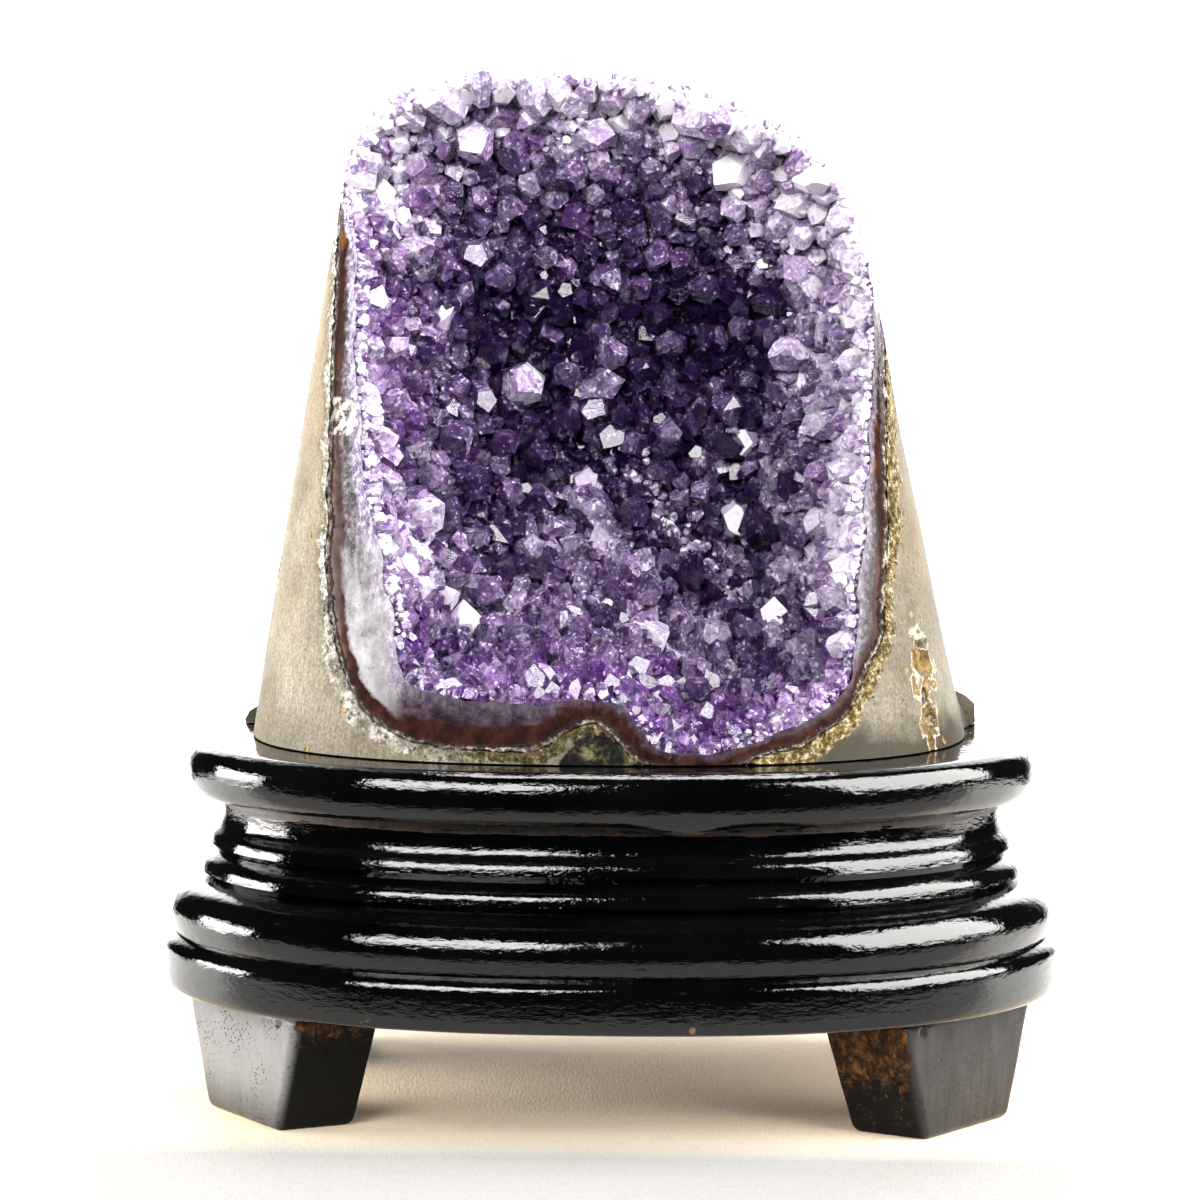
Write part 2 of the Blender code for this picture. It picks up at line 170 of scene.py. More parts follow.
# The hollow's wall: its deepest place, how far behind the crystal line it starts, how steeply it drops,
# and its hollows and swells: x, z, radius and depth
DEEPEST = Vector((0.0110, 0.0200, 0.1620))
WALL_INSET = 0.0055
CROWN_EDGE = 0.0012
WALL_SQUARENESS = 0.72
CROWN_SQUARENESS = 1.50
CROWN_SLOPE_START = 0.1900
CROWN_SLOPE_FULL = 0.2250
WALL_RINGS = 56
WALL_RELIEF = (
    (0.0140, 0.1865, 0.0170, 0.0050),
    (0.0360, 0.1175, 0.0105, 0.0050),
    (-0.0357, 0.1266, 0.0090, 0.0025),
    (0.0036, 0.1110, 0.0120, -0.0050),
    (0.0064, 0.1447, 0.0090, -0.0030),
)

# Mouldings of the stand from the bottom up: how far out from the plan, and the height; corners between
# the pieces are sharp
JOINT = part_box("upper_tray_board")[0].z
TRAY_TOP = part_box("upper_tray_board")[1].z
BODY_BOTTOM, BODY_TOP = (corner.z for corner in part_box("lower_moulding_board"))
PLAN_HALF_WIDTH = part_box("upper_tray_board")[1].x
PLAN_HALF_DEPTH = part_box("upper_tray_board")[1].y
PLAN_EXPONENT = 2.38
PLAN_SIDES = 360
LOWER_MOULDING = (
    ((0.0012, BODY_BOTTOM), (0.0042, 0.0272), (0.0054, 0.0290), (0.0056, 0.0340), (0.0052, 0.0370),
     (0.0031, 0.0388)),
    ((0.0031, 0.0388), (0.0038, 0.0406), (0.0042, 0.0436), (0.0034, 0.0466), (0.0010, 0.0492),
     (-0.0024, 0.0507), (-0.0045, 0.0513)),
    ((-0.0045, 0.0513), (-0.0029, 0.0528)),
    ((-0.0029, 0.0528), (-0.0036, 0.0552), (-0.0064, 0.0574)),
    ((-0.0064, 0.0574), (-0.0049, 0.0590)),
    ((-0.0049, 0.0590), (-0.0055, 0.0612), (-0.0075, 0.0640), (-0.0078, BODY_TOP)),
)
TRAY_NOSE = (
    ((-0.0066, JOINT), (-0.0026, 0.0702), (-0.0008, 0.0718), (0.0000, 0.0748), (-0.0002, 0.0780),
     (-0.0013, 0.0802), (-0.0032, TRAY_TOP)),
)
MOULDING_STEPS = 5
FLAT_BAND = 0.0020

# Lacquer run at the nose's lower edge: x, half width and drop of each drip
DRIPS = ((0.0190, 0.0075, 0.0020), (0.0480, 0.0050, 0.0008))
DRIP_TOP = 0.0722
DRIP_FRONT = (-0.0560, -0.0600)

# Strip of bare wood under the nose: lowest and highest place
BARE_STRIP = (0.0672, 0.0692)

# Feet, the front right one in plan: its front corner, and how far its outer and inner faces run from
# there; roughness as rates in plan and in height, and its own height
FOOT_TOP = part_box("foot_front_right")[1].z
FOOT_OUTER_FACE = math.radians(50.2)
FOOT_INNER_FACE = math.radians(155.0)
FOOT_TOP_CORNER = (0.0645, -0.0560)
FOOT_TOP_REACH = (0.0470, 0.0195)
FOOT_SOLE_CORNER = (0.0705, -0.0470)
FOOT_SOLE_REACH = (0.0290, 0.0180)
BACK_FOOT_INNER_SHARE = 0.60
FOOT_GRID = 0.0008
FOOT_EDGE_ROUND = 0.0020
FOOT_ROUGHNESS = ((900, 3.0, 0.00005), (160, 4.0, 0.00018))

# Small holes in the front feet: face, place along it, height, radius
FOOT_HOLES = (("outer", 0.0065, 0.0245, 0.0008), ("inner", 0.0080, 0.0190, 0.0007))
FOOT_HOLE_DEPTH = 0.0007

# Quartz: slope of the point's faces, shapes to choose from, and prism lengths in half widths
RHOMB_ANGLE = math.radians(51.8)
CRYSTAL_SHAPES = 60
SHOULDERS = (0.0, 0.05, 0.15, 0.35, 0.7, 1.1)
CRYSTAL_ROOT = 1.1
CRYSTAL_SEED = 7

# Spread of the crystals: sizes are half widths; each round gives the least and greatest size, how close
# two may stand in lots of their sizes, and how many places are tried
HOLLOW_MOUTH = (0.0, -0.0600, 0.1600)
METRES_PER_PIXEL = 0.000225
WALL_TRIES = 60000
CRYSTAL_ROUNDS = (
    (0.0030, 0.0044, 0.80, 2000), (0.0021, 0.0033, 0.70, 20000), (0.0012, 0.0021, 0.62, 40000),
    (0.0006, 0.0012, 0.60, 50000),
)
MOST_CRYSTALS = 16000
CRYSTAL_LEAN = 0.42
CRYSTAL_STRETCH = (0.95, 1.30)
FORWARD_LEAN = -0.22
RIM_ZONE = 0.0130
RIM_SHRINK = 0.12
CROWN_PROUD = 0.0020
PROUD_START = 0.1950
PROUD_FULL = 0.2200
CROWN_LIMIT = 0.2308
CROWN_TRIES = 5000
CROWN_FALL = 0.038
CROWN_BAND = (LINING_CROWN_Y - 0.0075, LINING_CROWN_Y + 0.001)
CROWN_LARGE = (0.0026, 0.0040, 0.80)
CROWN_SMALL = (0.0008, 0.0020, 0.60)
EDGE_CRYSTALS = 2600
EDGE_SIZES = (0.0005, 0.0015)
EDGE_STRAY = 0.0010
EDGE_LEAN = 0.45
EDGE_CLOSENESS = 0.55
LOW_EDGE_Z = 0.105

# Parts of the hollow that are paler or darker: axis, where each starts and where it is full
HOLLOW_PARTS = (
    ("low", 2, 0.130, 0.100), ("high", 2, 0.180, 0.205), ("upper", 2, 0.160, 0.180),
    ("lower_half", 2, 0.146, 0.124), ("right", 0, 0.020, 0.036), ("left", 0, -0.012, -0.030),
    ("far_right", 0, 0.030, 0.044),
)
HIGH_RIM_RIGHT = (0.0225, 0.0080)
HIGH_RIM_LEFT = (0.0290, 0.0080)
RIGHT_PALER = 0.44
LEFT_DARKER = 0.46
LOW_DARKER = 0.20
LOWER_HALF_PALER = 0.27
PALE_STEPS = (-0.2, 0.0, 0.15, 0.45)
PALEST = 1.25

# Painted shade in the hollow: how far down the bowl the dark depth starts, and how much darker it and the
# inside of the top are painted
DEEP_TURN = 1.05
DEEP_STRAY = 0.07
DEEP_TURNS = (0.80, 1.25)
DEEP_SHADE = 0.62
TOP_SHADE = 0.20
TOP_SHADE_INSIDE = (0.0160, 0.0280)

# Crystals that stand out in the photograph: pixel, width in pixels, paleness, zone, and 1 if a face
# mirrors the light
LARGE_LEAN = 0.18
LARGE_CRYSTALS = (
    (503, 111, 46, 0.75, "rim", 0), (572, 103, 36, 0.75, "rim", 0), (553, 151, 36, 0.45, "field", 0),
    (775, 160, 54, 0.95, "rim", 0), (378, 182, 38, 0.85, "rim", 1), (677, 174, 30, 0.35, "field", 0),
    (696, 200, 34, 0.15, "deep", 0), (759, 208, 34, 0.35, "field", 0), (702, 243, 34, 0.25, "deep", 0),
    (782, 270, 44, 0.30, "field", 0), (434, 319, 52, 0.55, "field", 1), (501, 308, 36, 0.35, "field", 0),
    (530, 314, 32, 0.25, "field", 1), (524, 381, 46, 0.55, "field", 0), (610, 354, 38, 0.15, "field", 0),
    (629, 404, 34, 0.65, "field", 1), (671, 381, 40, 0.20, "field", 1), (807, 390, 34, 0.45, "field", 0),
    (411, 447, 46, 0.65, "field", 0), (478, 458, 32, 0.30, "field", 0), (581, 474, 40, 0.30, "field", 1),
    (612, 466, 42, 0.30, "field", 0), (665, 434, 34, 0.30, "field", 0), (755, 437, 36, 0.45, "field", 1),
    (700, 461, 30, 0.25, "field", 0), (767, 464, 30, 0.35, "field", 0), (796, 449, 32, 0.45, "field", 0),
    (736, 487, 44, 0.50, "field", 1), (732, 512, 42, 0.60, "field", 1), (759, 522, 48, 0.00, "deep", 0),
    (413, 518, 48, 0.75, "field", 0), (415, 564, 52, 0.75, "field", 0), (533, 552, 36, 0.30, "field", 0),
    (606, 552, 56, 0.70, "field", 1), (644, 564, 36, 0.35, "field", 0), (432, 583, 34, 0.65, "field", 0),
    (437, 602, 34, 0.80, "field", 1), (484, 583, 38, 0.40, "field", 0), (585, 610, 34, 0.40, "field", 0),
    (610, 608, 34, 0.60, "field", 1), (467, 632, 40, 0.70, "field", 1), (556, 625, 38, 0.50, "field", 0),
    (644, 640, 54, 0.95, "field", 0), (671, 661, 38, 0.75, "field", 1), (717, 642, 38, 0.45, "field", 0),
    (776, 625, 46, 0.60, "field", 1), (775, 644, 36, 0.55, "field", 0), (809, 652, 38, 0.50, "field", 0),
)

# Seam of small pale crystals across the hollow, in pixels
SEAM_PIXELS = ((633, 462), (655, 500), (683, 536), (715, 575), (743, 612))
SEAM_CRYSTALS = 60
SEAM_STRAY = (8.0, 6.0)
SEAM_SIZES = (0.0006, 0.0012)
SEAM_LEAN = 0.45
SEAM_LIFT = 0.0012

# Crystal materials: zone, how much paler, clearness, density and colour of the clear body, share of
# rosy violet, and how busy the inside is
# The deep zone is a darker copy: its lower paleness is painted shade.
CRYSTAL_FINISHES = (
    ("rim", -0.02, 0.70, 20.0, (0.64, 0.44, 0.88), 0.90, 1.0),
    ("field", 0.0, 0.76, 50.0, (0.52, 0.32, 0.80), 0.50, 1.0),
    ("deep", -0.06, 0.80, 90.0, (0.44, 0.26, 0.74), 0.30, 1.0),
    ("bright", 0.02, 0.66, 50.0, (0.60, 0.50, 0.80), 0.30, 0.35),
)

# Light: the wall behind by direction (where it starts, where it is full, dark and bright) and how high it
# reaches; the softboxes by azimuth from the front to the right, elevation, distance, width, height,
# radiance, and whether they show in reflections
WORLD_BEHIND = (0.80, 0.92, 0.015, 5.0)
WORLD_HEIGHT = (0.60, 0.90, 1.0, 0.15)
LIGHT_TARGET = (0.0, 0.0, 0.12)
SOFTBOX_COLOUR = (1.0, 0.985, 0.96)
SOFTBOXES = (
    ("softbox_left", -26.0, 30.0, 1.25, 0.74, 0.56, 16.0, True),
    ("softbox_right", 71.0, 31.0, 1.25, 1.45, 1.15, 14.0, True),
    ("side_panel", -93.0, 3.0, 1.25, 0.66, 0.34, 20.0, True),
    ("left_fill", -95.0, 12.0, 1.25, 0.90, 0.70, 17.0, False),
    ("overhead", 180.0, 74.0, 1.25, 0.60, 0.46, 10.0, True),
)

# Floor: how far it runs to each side, and its near and far edge
FLOOR_EDGES = (1.15, -0.17, 0.27)


class Value:
    """A socket inside a material, which plain sums, differences and products can use."""

    def __init__(self, nodes, socket):
        self.nodes = nodes
        self.socket = socket

    def __add__(self, other):
        return self.nodes.maths("ADD", self, other)

    def __sub__(self, other):
        return self.nodes.maths("SUBTRACT", self, other)

    def __mul__(self, other):
        return self.nodes.maths("MULTIPLY", self, other)


class Nodes:
    """A node tree, with short calls for making and linking its nodes."""

    def __init__(self, tree):
        self.tree = tree

    def put(self, socket, value):
        if isinstance(value, Value):
            self.tree.links.new(value.socket, socket)
        else:
            socket.default_value = value

    def make(self, kind, output, inputs=None, **settings):
        """Make a node and return one of its outputs."""
        made = self.tree.nodes.new(kind)
        for key, value in settings.items():
            setattr(made, key, value)
        for key, value in (inputs or {}).items():
            self.put(made.inputs[key], value)
        return Value(self, made.outputs[output])

    def maths(self, operation, a, b=0.0):
        return self.make("ShaderNodeMath", 0, {0: a, 1: b}, operation=operation)

    def spread(self, value, low, high, to_low=0.0, to_high=1.0, **settings):
        """Map the range low to high onto to_low to to_high, and hold it there beyond."""
        inputs = {"Value": value, "From Min": low, "From Max": high, "To Min": to_low, "To Max": to_high}
        return self.make("ShaderNodeMapRange", "Result", inputs, **settings)


class Finish(Nodes):
    """One Principled material, with short calls for the textures used here."""

    def __init__(self, name, **values):
        self.material = bpy.data.materials.new(name)
        self.material.use_nodes = True
        super().__init__(self.material.node_tree)
        self.shader = self.tree.nodes["Principled BSDF"]
        self.place = self.make("ShaderNodeTexCoord", "Object")
        for socket, value in values.items():
            self.set(socket.replace("_", " "), value)

    def set(self, socket, value):
        self.put(self.shader.inputs[socket], value)

    def axis(self, name):
        return self.make("ShaderNodeSeparateXYZ", name, {0: self.place})

    def noise(self, scale, detail=3.0, roughness=0.5, distortion=0.0, stretch=None):
        place = self.place
        if stretch is not None:
            place = self.make("ShaderNodeVectorMath", 0, {0: place, 1: stretch}, operation="MULTIPLY")
        inputs = {"Vector": place, "Scale": scale, "Detail": detail, "Roughness": roughness,
                  "Distortion": distortion}
        return self.make("ShaderNodeTexNoise", "Fac", inputs)

    def stray(self, amount, scale, detail=3.0, roughness=0.5, stretch=None):
        """Return noise that runs from minus to plus an amount."""
        return self.spread(self.noise(scale, detail, roughness, stretch=stretch), 0.3, 0.7, -amount, amount)

    def cells_below(self, scale, limit):
        """Return 1 in round spots, one in each cell, and 0 between them."""
        away = self.make("ShaderNodeTexVoronoi", "Distance", {"Vector": self.place, "Scale": scale})
        return self.maths("LESS_THAN", away, limit)

    def shards(self, scale, wander):
        """Return two random numbers for each of many sharp, bent splinters."""
        bend = self.make("ShaderNodeTexNoise", "Color", {"Vector": self.place, "Scale": 0.6 * scale})
        inputs = {0: bend, 1: (wander,) * 3, 2: self.place}
        moved = self.make("ShaderNodeVectorMath", 0, inputs, operation="MULTIPLY_ADD")
        colour = self.make("ShaderNodeTexVoronoi", "Color", {"Vector": moved, "Scale": scale})
        return [self.make("ShaderNodeSeparateColor", k, {0: colour}) for k in (0, 1)]

    def attribute(self, name):
        return self.make("ShaderNodeAttribute", "Fac", attribute_name=name)

    def ramp(self, value, *stops):
        colour = self.make("ShaderNodeValToRGB", "Color", {"Fac": value})
        elements = colour.socket.node.color_ramp.elements
        while len(elements) < len(stops):
            elements.new(0.5)
        for element, (position, stop) in zip(elements, stops):
            element.position = position
            element.color = (*stop, 1.0)
        return colour

    def mix(self, factor, a, b, blend="MIX"):
        a, b = (value if isinstance(value, Value) else (*value, 1.0) for value in (a, b))
        return self.make("ShaderNodeMix", 2, {0: factor, 6: a, 7: b}, data_type="RGBA", blend_type=blend)

    def bump(self, height, distance, normal=None):
        inputs = {"Height": height, "Distance": distance}
        if normal is not None:
            inputs["Normal"] = normal
        return self.make("ShaderNodeBump", "Normal", inputs)


def smooth_step(low, high, value):
    share = np.clip((value - low) / (high - low), 0.0, 1.0)
    return share * share * (3.0 - 2.0 * share)


def signed_power(value, power):
    return np.sign(value) * np.abs(value) ** power


def grid_faces(rows, columns):
    """Return the quads of a grid of points, row by row; each row closes on itself."""
    faces = []
    for row in range(rows - 1):
        for i in range(columns):
            j = (i + 1) % columns
            low, high = row * columns, (row + 1) * columns
            faces.append((low + i, low + j, high + j, high + i))
    return faces


def mesh_object(name, points, faces):
    """Make a mesh object from points and faces as they are."""
    mesh = bpy.data.meshes.new(name)
    mesh.from_pydata([tuple(point) for point in points], [], faces)
    made = bpy.data.objects.new(name, mesh)
    bpy.context.scene.collection.objects.link(made)
    return made


def solid_object(name, points, faces):
    """Make a closed mesh object, its faces pointing outwards."""
    made = mesh_object(name, points, faces)
    bm = bmesh.new()
    bm.from_mesh(made.data)
    bmesh.ops.recalc_face_normals(bm, faces=bm.faces)
    if bm.calc_volume(signed=True) < 0.0:
        bmesh.ops.reverse_faces(bm, faces=bm.faces)
    bm.to_mesh(made.data)
    bm.free()
    return made


def lofted(name, rings):
    """Skin a stack of closed rings, with flat caps."""
    rows, columns = len(rings), len(rings[0])
    faces = grid_faces(rows, columns)
    faces.append(tuple(reversed(range(columns))))
    faces.append(tuple(range((rows - 1) * columns, rows * columns)))
    return solid_object(name, np.concatenate(rings), faces)


def set_attribute(piece, name, values, domain="POINT"):
    """Give each point or face of a piece a number that its material reads."""
    made = piece.data.attributes.new(name, "FLOAT", domain)
    made.data.foreach_set("value", np.asarray(values, np.float32))


def points_of(piece):
    points = np.empty(3 * len(piece.data.vertices), np.float32)
    piece.data.vertices.foreach_get("co", points)
    return points.reshape(-1, 3).astype(float)


def dress(piece, material, slot, *nodes, smooth=None):
    """Give a piece its material, smooth its shading if asked, hang it under the root, and hide the imported
    nodes it takes the place of.
    """
    piece.data.materials.clear()
    piece.data.materials.append(material)
    if smooth is not None:
        piece.data.shade_smooth()
        piece.data.set_sharp_from_angle(angle=math.radians(smooth))
    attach(piece, "root")
    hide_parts(*nodes)


def carve(target, cuts):
    """Apply exact Booleans and remove the cutters."""
    for tool, operation in cuts:
        modifier = target.modifiers.new(tool.name, "BOOLEAN")
        modifier.object = tool
        modifier.operation = operation
        modifier.solver = "EXACT"
    depsgraph = bpy.context.evaluated_depsgraph_get()
    depsgraph.update()
    carved = bpy.data.meshes.new_from_object(target.evaluated_get(depsgraph))
    target.modifiers.clear()
    target.data = carved
    for tool, _ in cuts:
        bpy.data.objects.remove(tool)


# The stone's outside

def stone_extents(z):
    """Return the left, right, front and back of the stone at heights z."""
    table = STONE_STATIONS
    z = np.atleast_1d(z)
    last = len(table) - 1
    i = np.clip(np.searchsorted(table[:, 0], z) - 1, 0, last - 1)
    before, after = table[np.maximum(i - 1, 0)], table[np.minimum(i + 2, last)]
    low, high = table[i], table[i + 1]
    span = high[:, :1] - low[:, :1]
    share = np.clip((z[:, None] - low[:, :1]) / span, 0.0, 1.0)
    slope_low = (high - before) / (high[:, :1] - before[:, :1]) * span
    slope_high = (after - low) / (after[:, :1] - low[:, :1]) * span
    rise = high - low
    values = (low + share * slope_low + share ** 2 * (3.0 * rise - 2.0 * slope_low - slope_high)
              + share ** 3 * (slope_low + slope_high - 2.0 * rise))
    return values[:, 1], values[:, 2], values[:, 3], values[:, 4]


def section_middle(front, back):
    """Return the y of a level section's widest line."""
    return np.minimum(STONE_WIDEST_Y, 0.5 * (front + back) + STONE_WIDEST_Y)


def front_y(x, z):
    """Return where the stone's front is behind a point seen from the front."""
    left, right, front, back = stone_extents(np.minimum(z, STONE_CROWN))
    across = np.minimum(np.abs(x - 0.5 * (left + right)) / (0.5 * (right - left)), 1.0)
    along = (1.0 - across ** STONE_EXPONENT) ** (1.0 / STONE_EXPONENT)
    middle = section_middle(front, back)
    return middle - (middle - front) * along


def rind_push(point, outwards):
    """Return how far the natural rind stands out at a point of the back."""
    rough = float(smooth_step(RIND_START_Y, RIND_FULL_Y, point.y))
    if rough == 0.0:
        return 0.0
    lumps = sum(height * noise.noise(point / size) for size, height in RIND_LUMPS)
    size, height = RIND_FLARE_WANDER
    top = RIND_FLARE_TOP + height * noise.noise(point / size)
    near_base = smooth_step(top, top - RIND_FLARE_RISE, point.z)
    to_the_side = smooth_step(*RIND_FLARE_SIDES, abs(outwards.x))
    centre, radius, height = RIND_BIT
    bit = smooth_step(radius, 0.4 * radius, (point - Vector(centre)).length)
    return rough * (lumps + RIND_FLARE * near_base * to_the_side) + height * float(bit)


def pit_distance(point, centre, half):
    """Return how far a point is from a pit's middle, in lots of its uneven half size."""
    away = Vector([(point[k] - centre[k]) / half[k] for k in range(3)]).length
    return away + PIT_WANDER * noise.noise(point / PIT_WANDER_SIZE)


def pit_push(point):
    """Return how deep an open pit is at a point of the ground side, as a negative push."""
    deepest = 0.0
    for pit in PITS:
        inside = float(smooth_step(*PIT_HOLLOW, pit_distance(point, *pit)))
        deepest = max(deepest, inside * (0.7 + 0.6 * noise.noise(point / PIT_FLOOR_SIZE)))
    return -PIT_DEPTH * deepest


def stone_rings(angles, rings, detailed):
    """Return the level rings of the stone's outside; detailed adds rind and pits."""
    base = STONE_STATIONS[0][0]
    shares = np.arange(rings) / (rings - 1)
    heights = base + (STONE_CROWN - base) * np.sin(0.5 * math.pi * shares ** 0.93)
    sides = len(angles)
    across = signed_power(np.cos(angles), 2.0 / STONE_EXPONENT)
    along = signed_power(np.sin(angles), 2.0 / STONE_EXPONENT)
    made = []
    for height in heights:
        left, right, front, back = (value[0] for value in stone_extents(height))
        middle = section_middle(front, back)
        x = 0.5 * (left + right) + 0.5 * (right - left) * across
        y = middle + np.where(along > 0, back - middle, middle - front) * along
        ring = np.stack([x, y, np.full(sides, height)], axis=1)
        for k in range(sides):
            outwards = Vector((across[k], along[k], 0.0)).normalized()
            point = Vector(ring[k])
            push = rind_push(point, outwards)
            if detailed:
                push += pit_push(point)
            if push:
                ring[k] = point + outwards * push
        made.append(ring)
    return made


# Outlines of the lining and the hollow

def spline_points(points, steps, closed):
    """Return points on a smooth curve through the ones given."""
    count = len(points)
    spans = count if closed else count - 1
    made = []
    for i in range(spans):
        near = [(i + k) % count if closed else min(max(i + k, 0), count - 1) for k in (-1, 0, 1, 2)]
        a, b, c, d = (np.asarray(points[n], float) for n in near)
        for step in range(steps):
            t = step / steps
            made.append(0.5 * (2.0 * b + (c - a) * t + (2.0 * a - 5.0 * b + 4.0 * c - d) * t ** 2
                               + (3.0 * b - a - 3.0 * c + d) * t ** 3))
    if not closed:
        made.append(np.asarray(points[-1], float))
    return np.array(made)


def camera_place():
    return Vector((CAMERA_DISTANCE * math.sin(CAMERA_YAW) - CAMERA_ASIDE * math.cos(CAMERA_YAW),
                   -CAMERA_DISTANCE * math.cos(CAMERA_YAW) - CAMERA_ASIDE * math.sin(CAMERA_YAW),
                   CAMERA_HEIGHT))


def pixel_ray(px, py):
    """Return the direction from the camera through a pixel of the photograph."""
    half = 0.5 * PICTURE_SIZE
    reach = 0.5 * SENSOR / LENS
    right = (px - half) / half * reach
    up = (half - py) / half * reach
    forward, rise = math.cos(CAMERA_PITCH), math.sin(CAMERA_PITCH)
    y, z = forward + up * rise, up * forward - rise
    turn_cos, turn_sin = math.cos(CAMERA_YAW), math.sin(CAMERA_YAW)
    return Vector((right * turn_cos - y * turn_sin, right * turn_sin + y * turn_cos, z)).normalized()


def on_the_face(px, py):
    """Return x and z where a pixel falls on the stone's front."""
    start, ray = camera_place(), pixel_ray(px, py)
    y = -0.03
    for _ in range(12):
        hit = start + ray * ((y - start.y) / ray.y)
        y = 0.5 * (y + float(front_y(hit.x, hit.z)[0]))
    return hit.x, hit.z


def crystal_line():
    """Return the closed outline, seen from the front, inside which crystals grow."""
    placed = [on_the_face(*pixel) for pixel in CRYSTAL_LINE_PIXELS]
    smooth = spline_points(placed + list(CRYSTAL_LINE_CROWN), OUTLINE_STEPS, closed=True)
    share = smooth_step(CROWN_SLOPE_FULL, CROWN_SLOPE_START, smooth[:, 1])
    return smooth + wander(smooth, CRYSTAL_LINE_SEED) * (CRYSTAL_WANDER * share)[:, None]


def wander(line, seed):
    """Return how far each point of an outline strays, in lots of its wander."""
    coarse, fine = WANDER_SIZES
    return np.array([[noise.noise(Vector((x, z, k)) / coarse) + 0.5 * noise.noise(Vector((x, z, k)) / fine)
                      for k in (seed, seed + 0.04)] for x, z in line])


def lining_line():
    """Return the outline between basalt and agate, wandering a little."""
    smooth = spline_points(LINING_OUTLINE, OUTLINE_STEPS * 2, closed=False)
    return smooth + LINING_WANDER * wander(smooth, LINING_SEED)


def wall_relief(x, z):
    """Return how much deeper the hollow's wall is than its plain bowl."""
    total = np.zeros_like(x)
    for centre_x, centre_z, radius, depth in WALL_RELIEF:
        total += depth * np.exp(-((x - centre_x) ** 2 + (z - centre_z) ** 2) / radius ** 2)
    return total


def bowl_start(outline, inset):
    """Return how far back a bowl starts under its outline."""
    edge = LINING_CROWN_Y - min(inset, CROWN_EDGE)
    return np.minimum(front_y(outline[:, 0], outline[:, 1]) + EDGE_RECESS, edge)


def squareness(z):
    """Return how steeply the bowl drops behind an edge at height z: less steeply at the crown."""
    sloping = smooth_step(CROWN_SLOPE_START, CROWN_SLOPE_FULL, z)
    return WALL_SQUARENESS + (CROWN_SQUARENESS - WALL_SQUARENESS) * sloping


def bowl_rings(outline, inset, rings, relief):
    """Return the rings of a bowl behind an outline, from its edge to its deepest place."""
    start_y = bowl_start(outline, inset)
    floor_y = DEEPEST.y - inset
    made = []
    for i in range(rings):
        turn = 0.5 * math.pi * i / rings
        inwards = math.cos(turn) ** squareness(outline[:, 1])
        x = DEEPEST.x + inwards * (outline[:, 0] - DEEPEST.x)
        z = DEEPEST.z + inwards * (outline[:, 1] - DEEPEST.z)
        y = start_y + math.sin(turn) * (floor_y - start_y)
        if relief:
            y = y + wall_relief(x, z) * math.sin(turn)
        made.append(np.stack([x, y, z], axis=1))
    return made


def bowl(name, outline, inset, rings, relief):
    """Return a closed cutter: a prism of the outline in front, then the bowl."""
    prism = np.stack([outline[:, 0], np.full(len(outline), CUTTER_FRONT_Y), outline[:, 1]], axis=1)
    stack = [prism] + bowl_rings(outline, inset, rings, relief)
    rows, columns = len(stack), len(outline)
    faces = grid_faces(rows, columns)
    faces.append(tuple(reversed(range(columns))))
    deepest = np.array([stack[-1].mean(axis=0)])
    tip = rows * columns
    for i in range(columns):
        faces.append(((rows - 1) * columns + i, (rows - 1) * columns + (i + 1) % columns, tip))
    return solid_object(name, np.concatenate(stack + [deepest]), faces)


def distance_to_line(points, line, closed=False):
    """Return each point's distance in x and z to a line."""
    ends = np.roll(line, -1, axis=0) if closed else line[1:]
    starts = line if closed else line[:-1]
    best = np.full(len(points), 9.0)
    flat = points[:, (0, 2)]
    for start, end in zip(starts, ends):
        way = end - start
        share = np.clip(((flat - start) @ way) / max(float(way @ way), 1e-12), 0.0, 1.0)
        best = np.minimum(best, np.linalg.norm(flat - start - share[:, None] * way, axis=1))
    return best


# The stand

def oval(offset, height):
    """Return one ring of the stand: the plan moved outwards by offset."""
    angles = math.tau * (np.arange(PLAN_SIDES) + 0.5) / PLAN_SIDES
    power = 2.0 / PLAN_EXPONENT
    x = PLAN_HALF_WIDTH * signed_power(np.cos(angles), power)
    y = PLAN_HALF_DEPTH * signed_power(np.sin(angles), power)
    slope_x = signed_power(x / PLAN_HALF_WIDTH, PLAN_EXPONENT - 1.0) / PLAN_HALF_WIDTH
    slope_y = signed_power(y / PLAN_HALF_DEPTH, PLAN_EXPONENT - 1.0) / PLAN_HALF_DEPTH
    length = np.hypot(slope_x, slope_y)
    x = np.clip(x + offset * slope_x / length, cad_low.x, cad_high.x)
    return np.stack([x, y + offset * slope_y / length, np.full(PLAN_SIDES, height)], axis=1)


def moulding_line(pieces):
    """Return offset and height along a moulding: smooth within each piece, sharp where pieces meet."""
    line = []
    for piece in pieces:
        points = spline_points(piece, MOULDING_STEPS, closed=False) if len(piece) > 2 else np.array(piece)
        line.extend(points if not line else points[1:])
    return np.array(line)


def moulded_board(name, pieces, node, material):
    """Build a board of the stand, with flat bands just inside its top and bottom edges."""
    line = moulding_line(pieces)
    low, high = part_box(node)
    line[:, 1] = np.clip(line[:, 1], low.z, high.z)
    line[:, 0] = np.minimum(line[:, 0], max(offset for piece in pieces for offset, _ in piece))
    first, last = line[0] - (FLAT_BAND, 0.0), line[-1] - (FLAT_BAND, 0.0)
    rings = [oval(*place) for place in (first, *line, last)]
    for ring in rings:
        for x, half_width, drop in DRIPS if node == "upper_tray_board" else ():
            near = np.exp(-((ring[:, 0] - x) / half_width) ** 2) * (ring[:, 1] < -0.055)
            below = smooth_step(DRIP_TOP, JOINT, ring[:, 2]) * smooth_step(*DRIP_FRONT, ring[:, 1])
            ring[:, 2] -= drop * near * below
    dress(lofted(name, rings), material, "black_lacquered_wood", node, smooth=32)


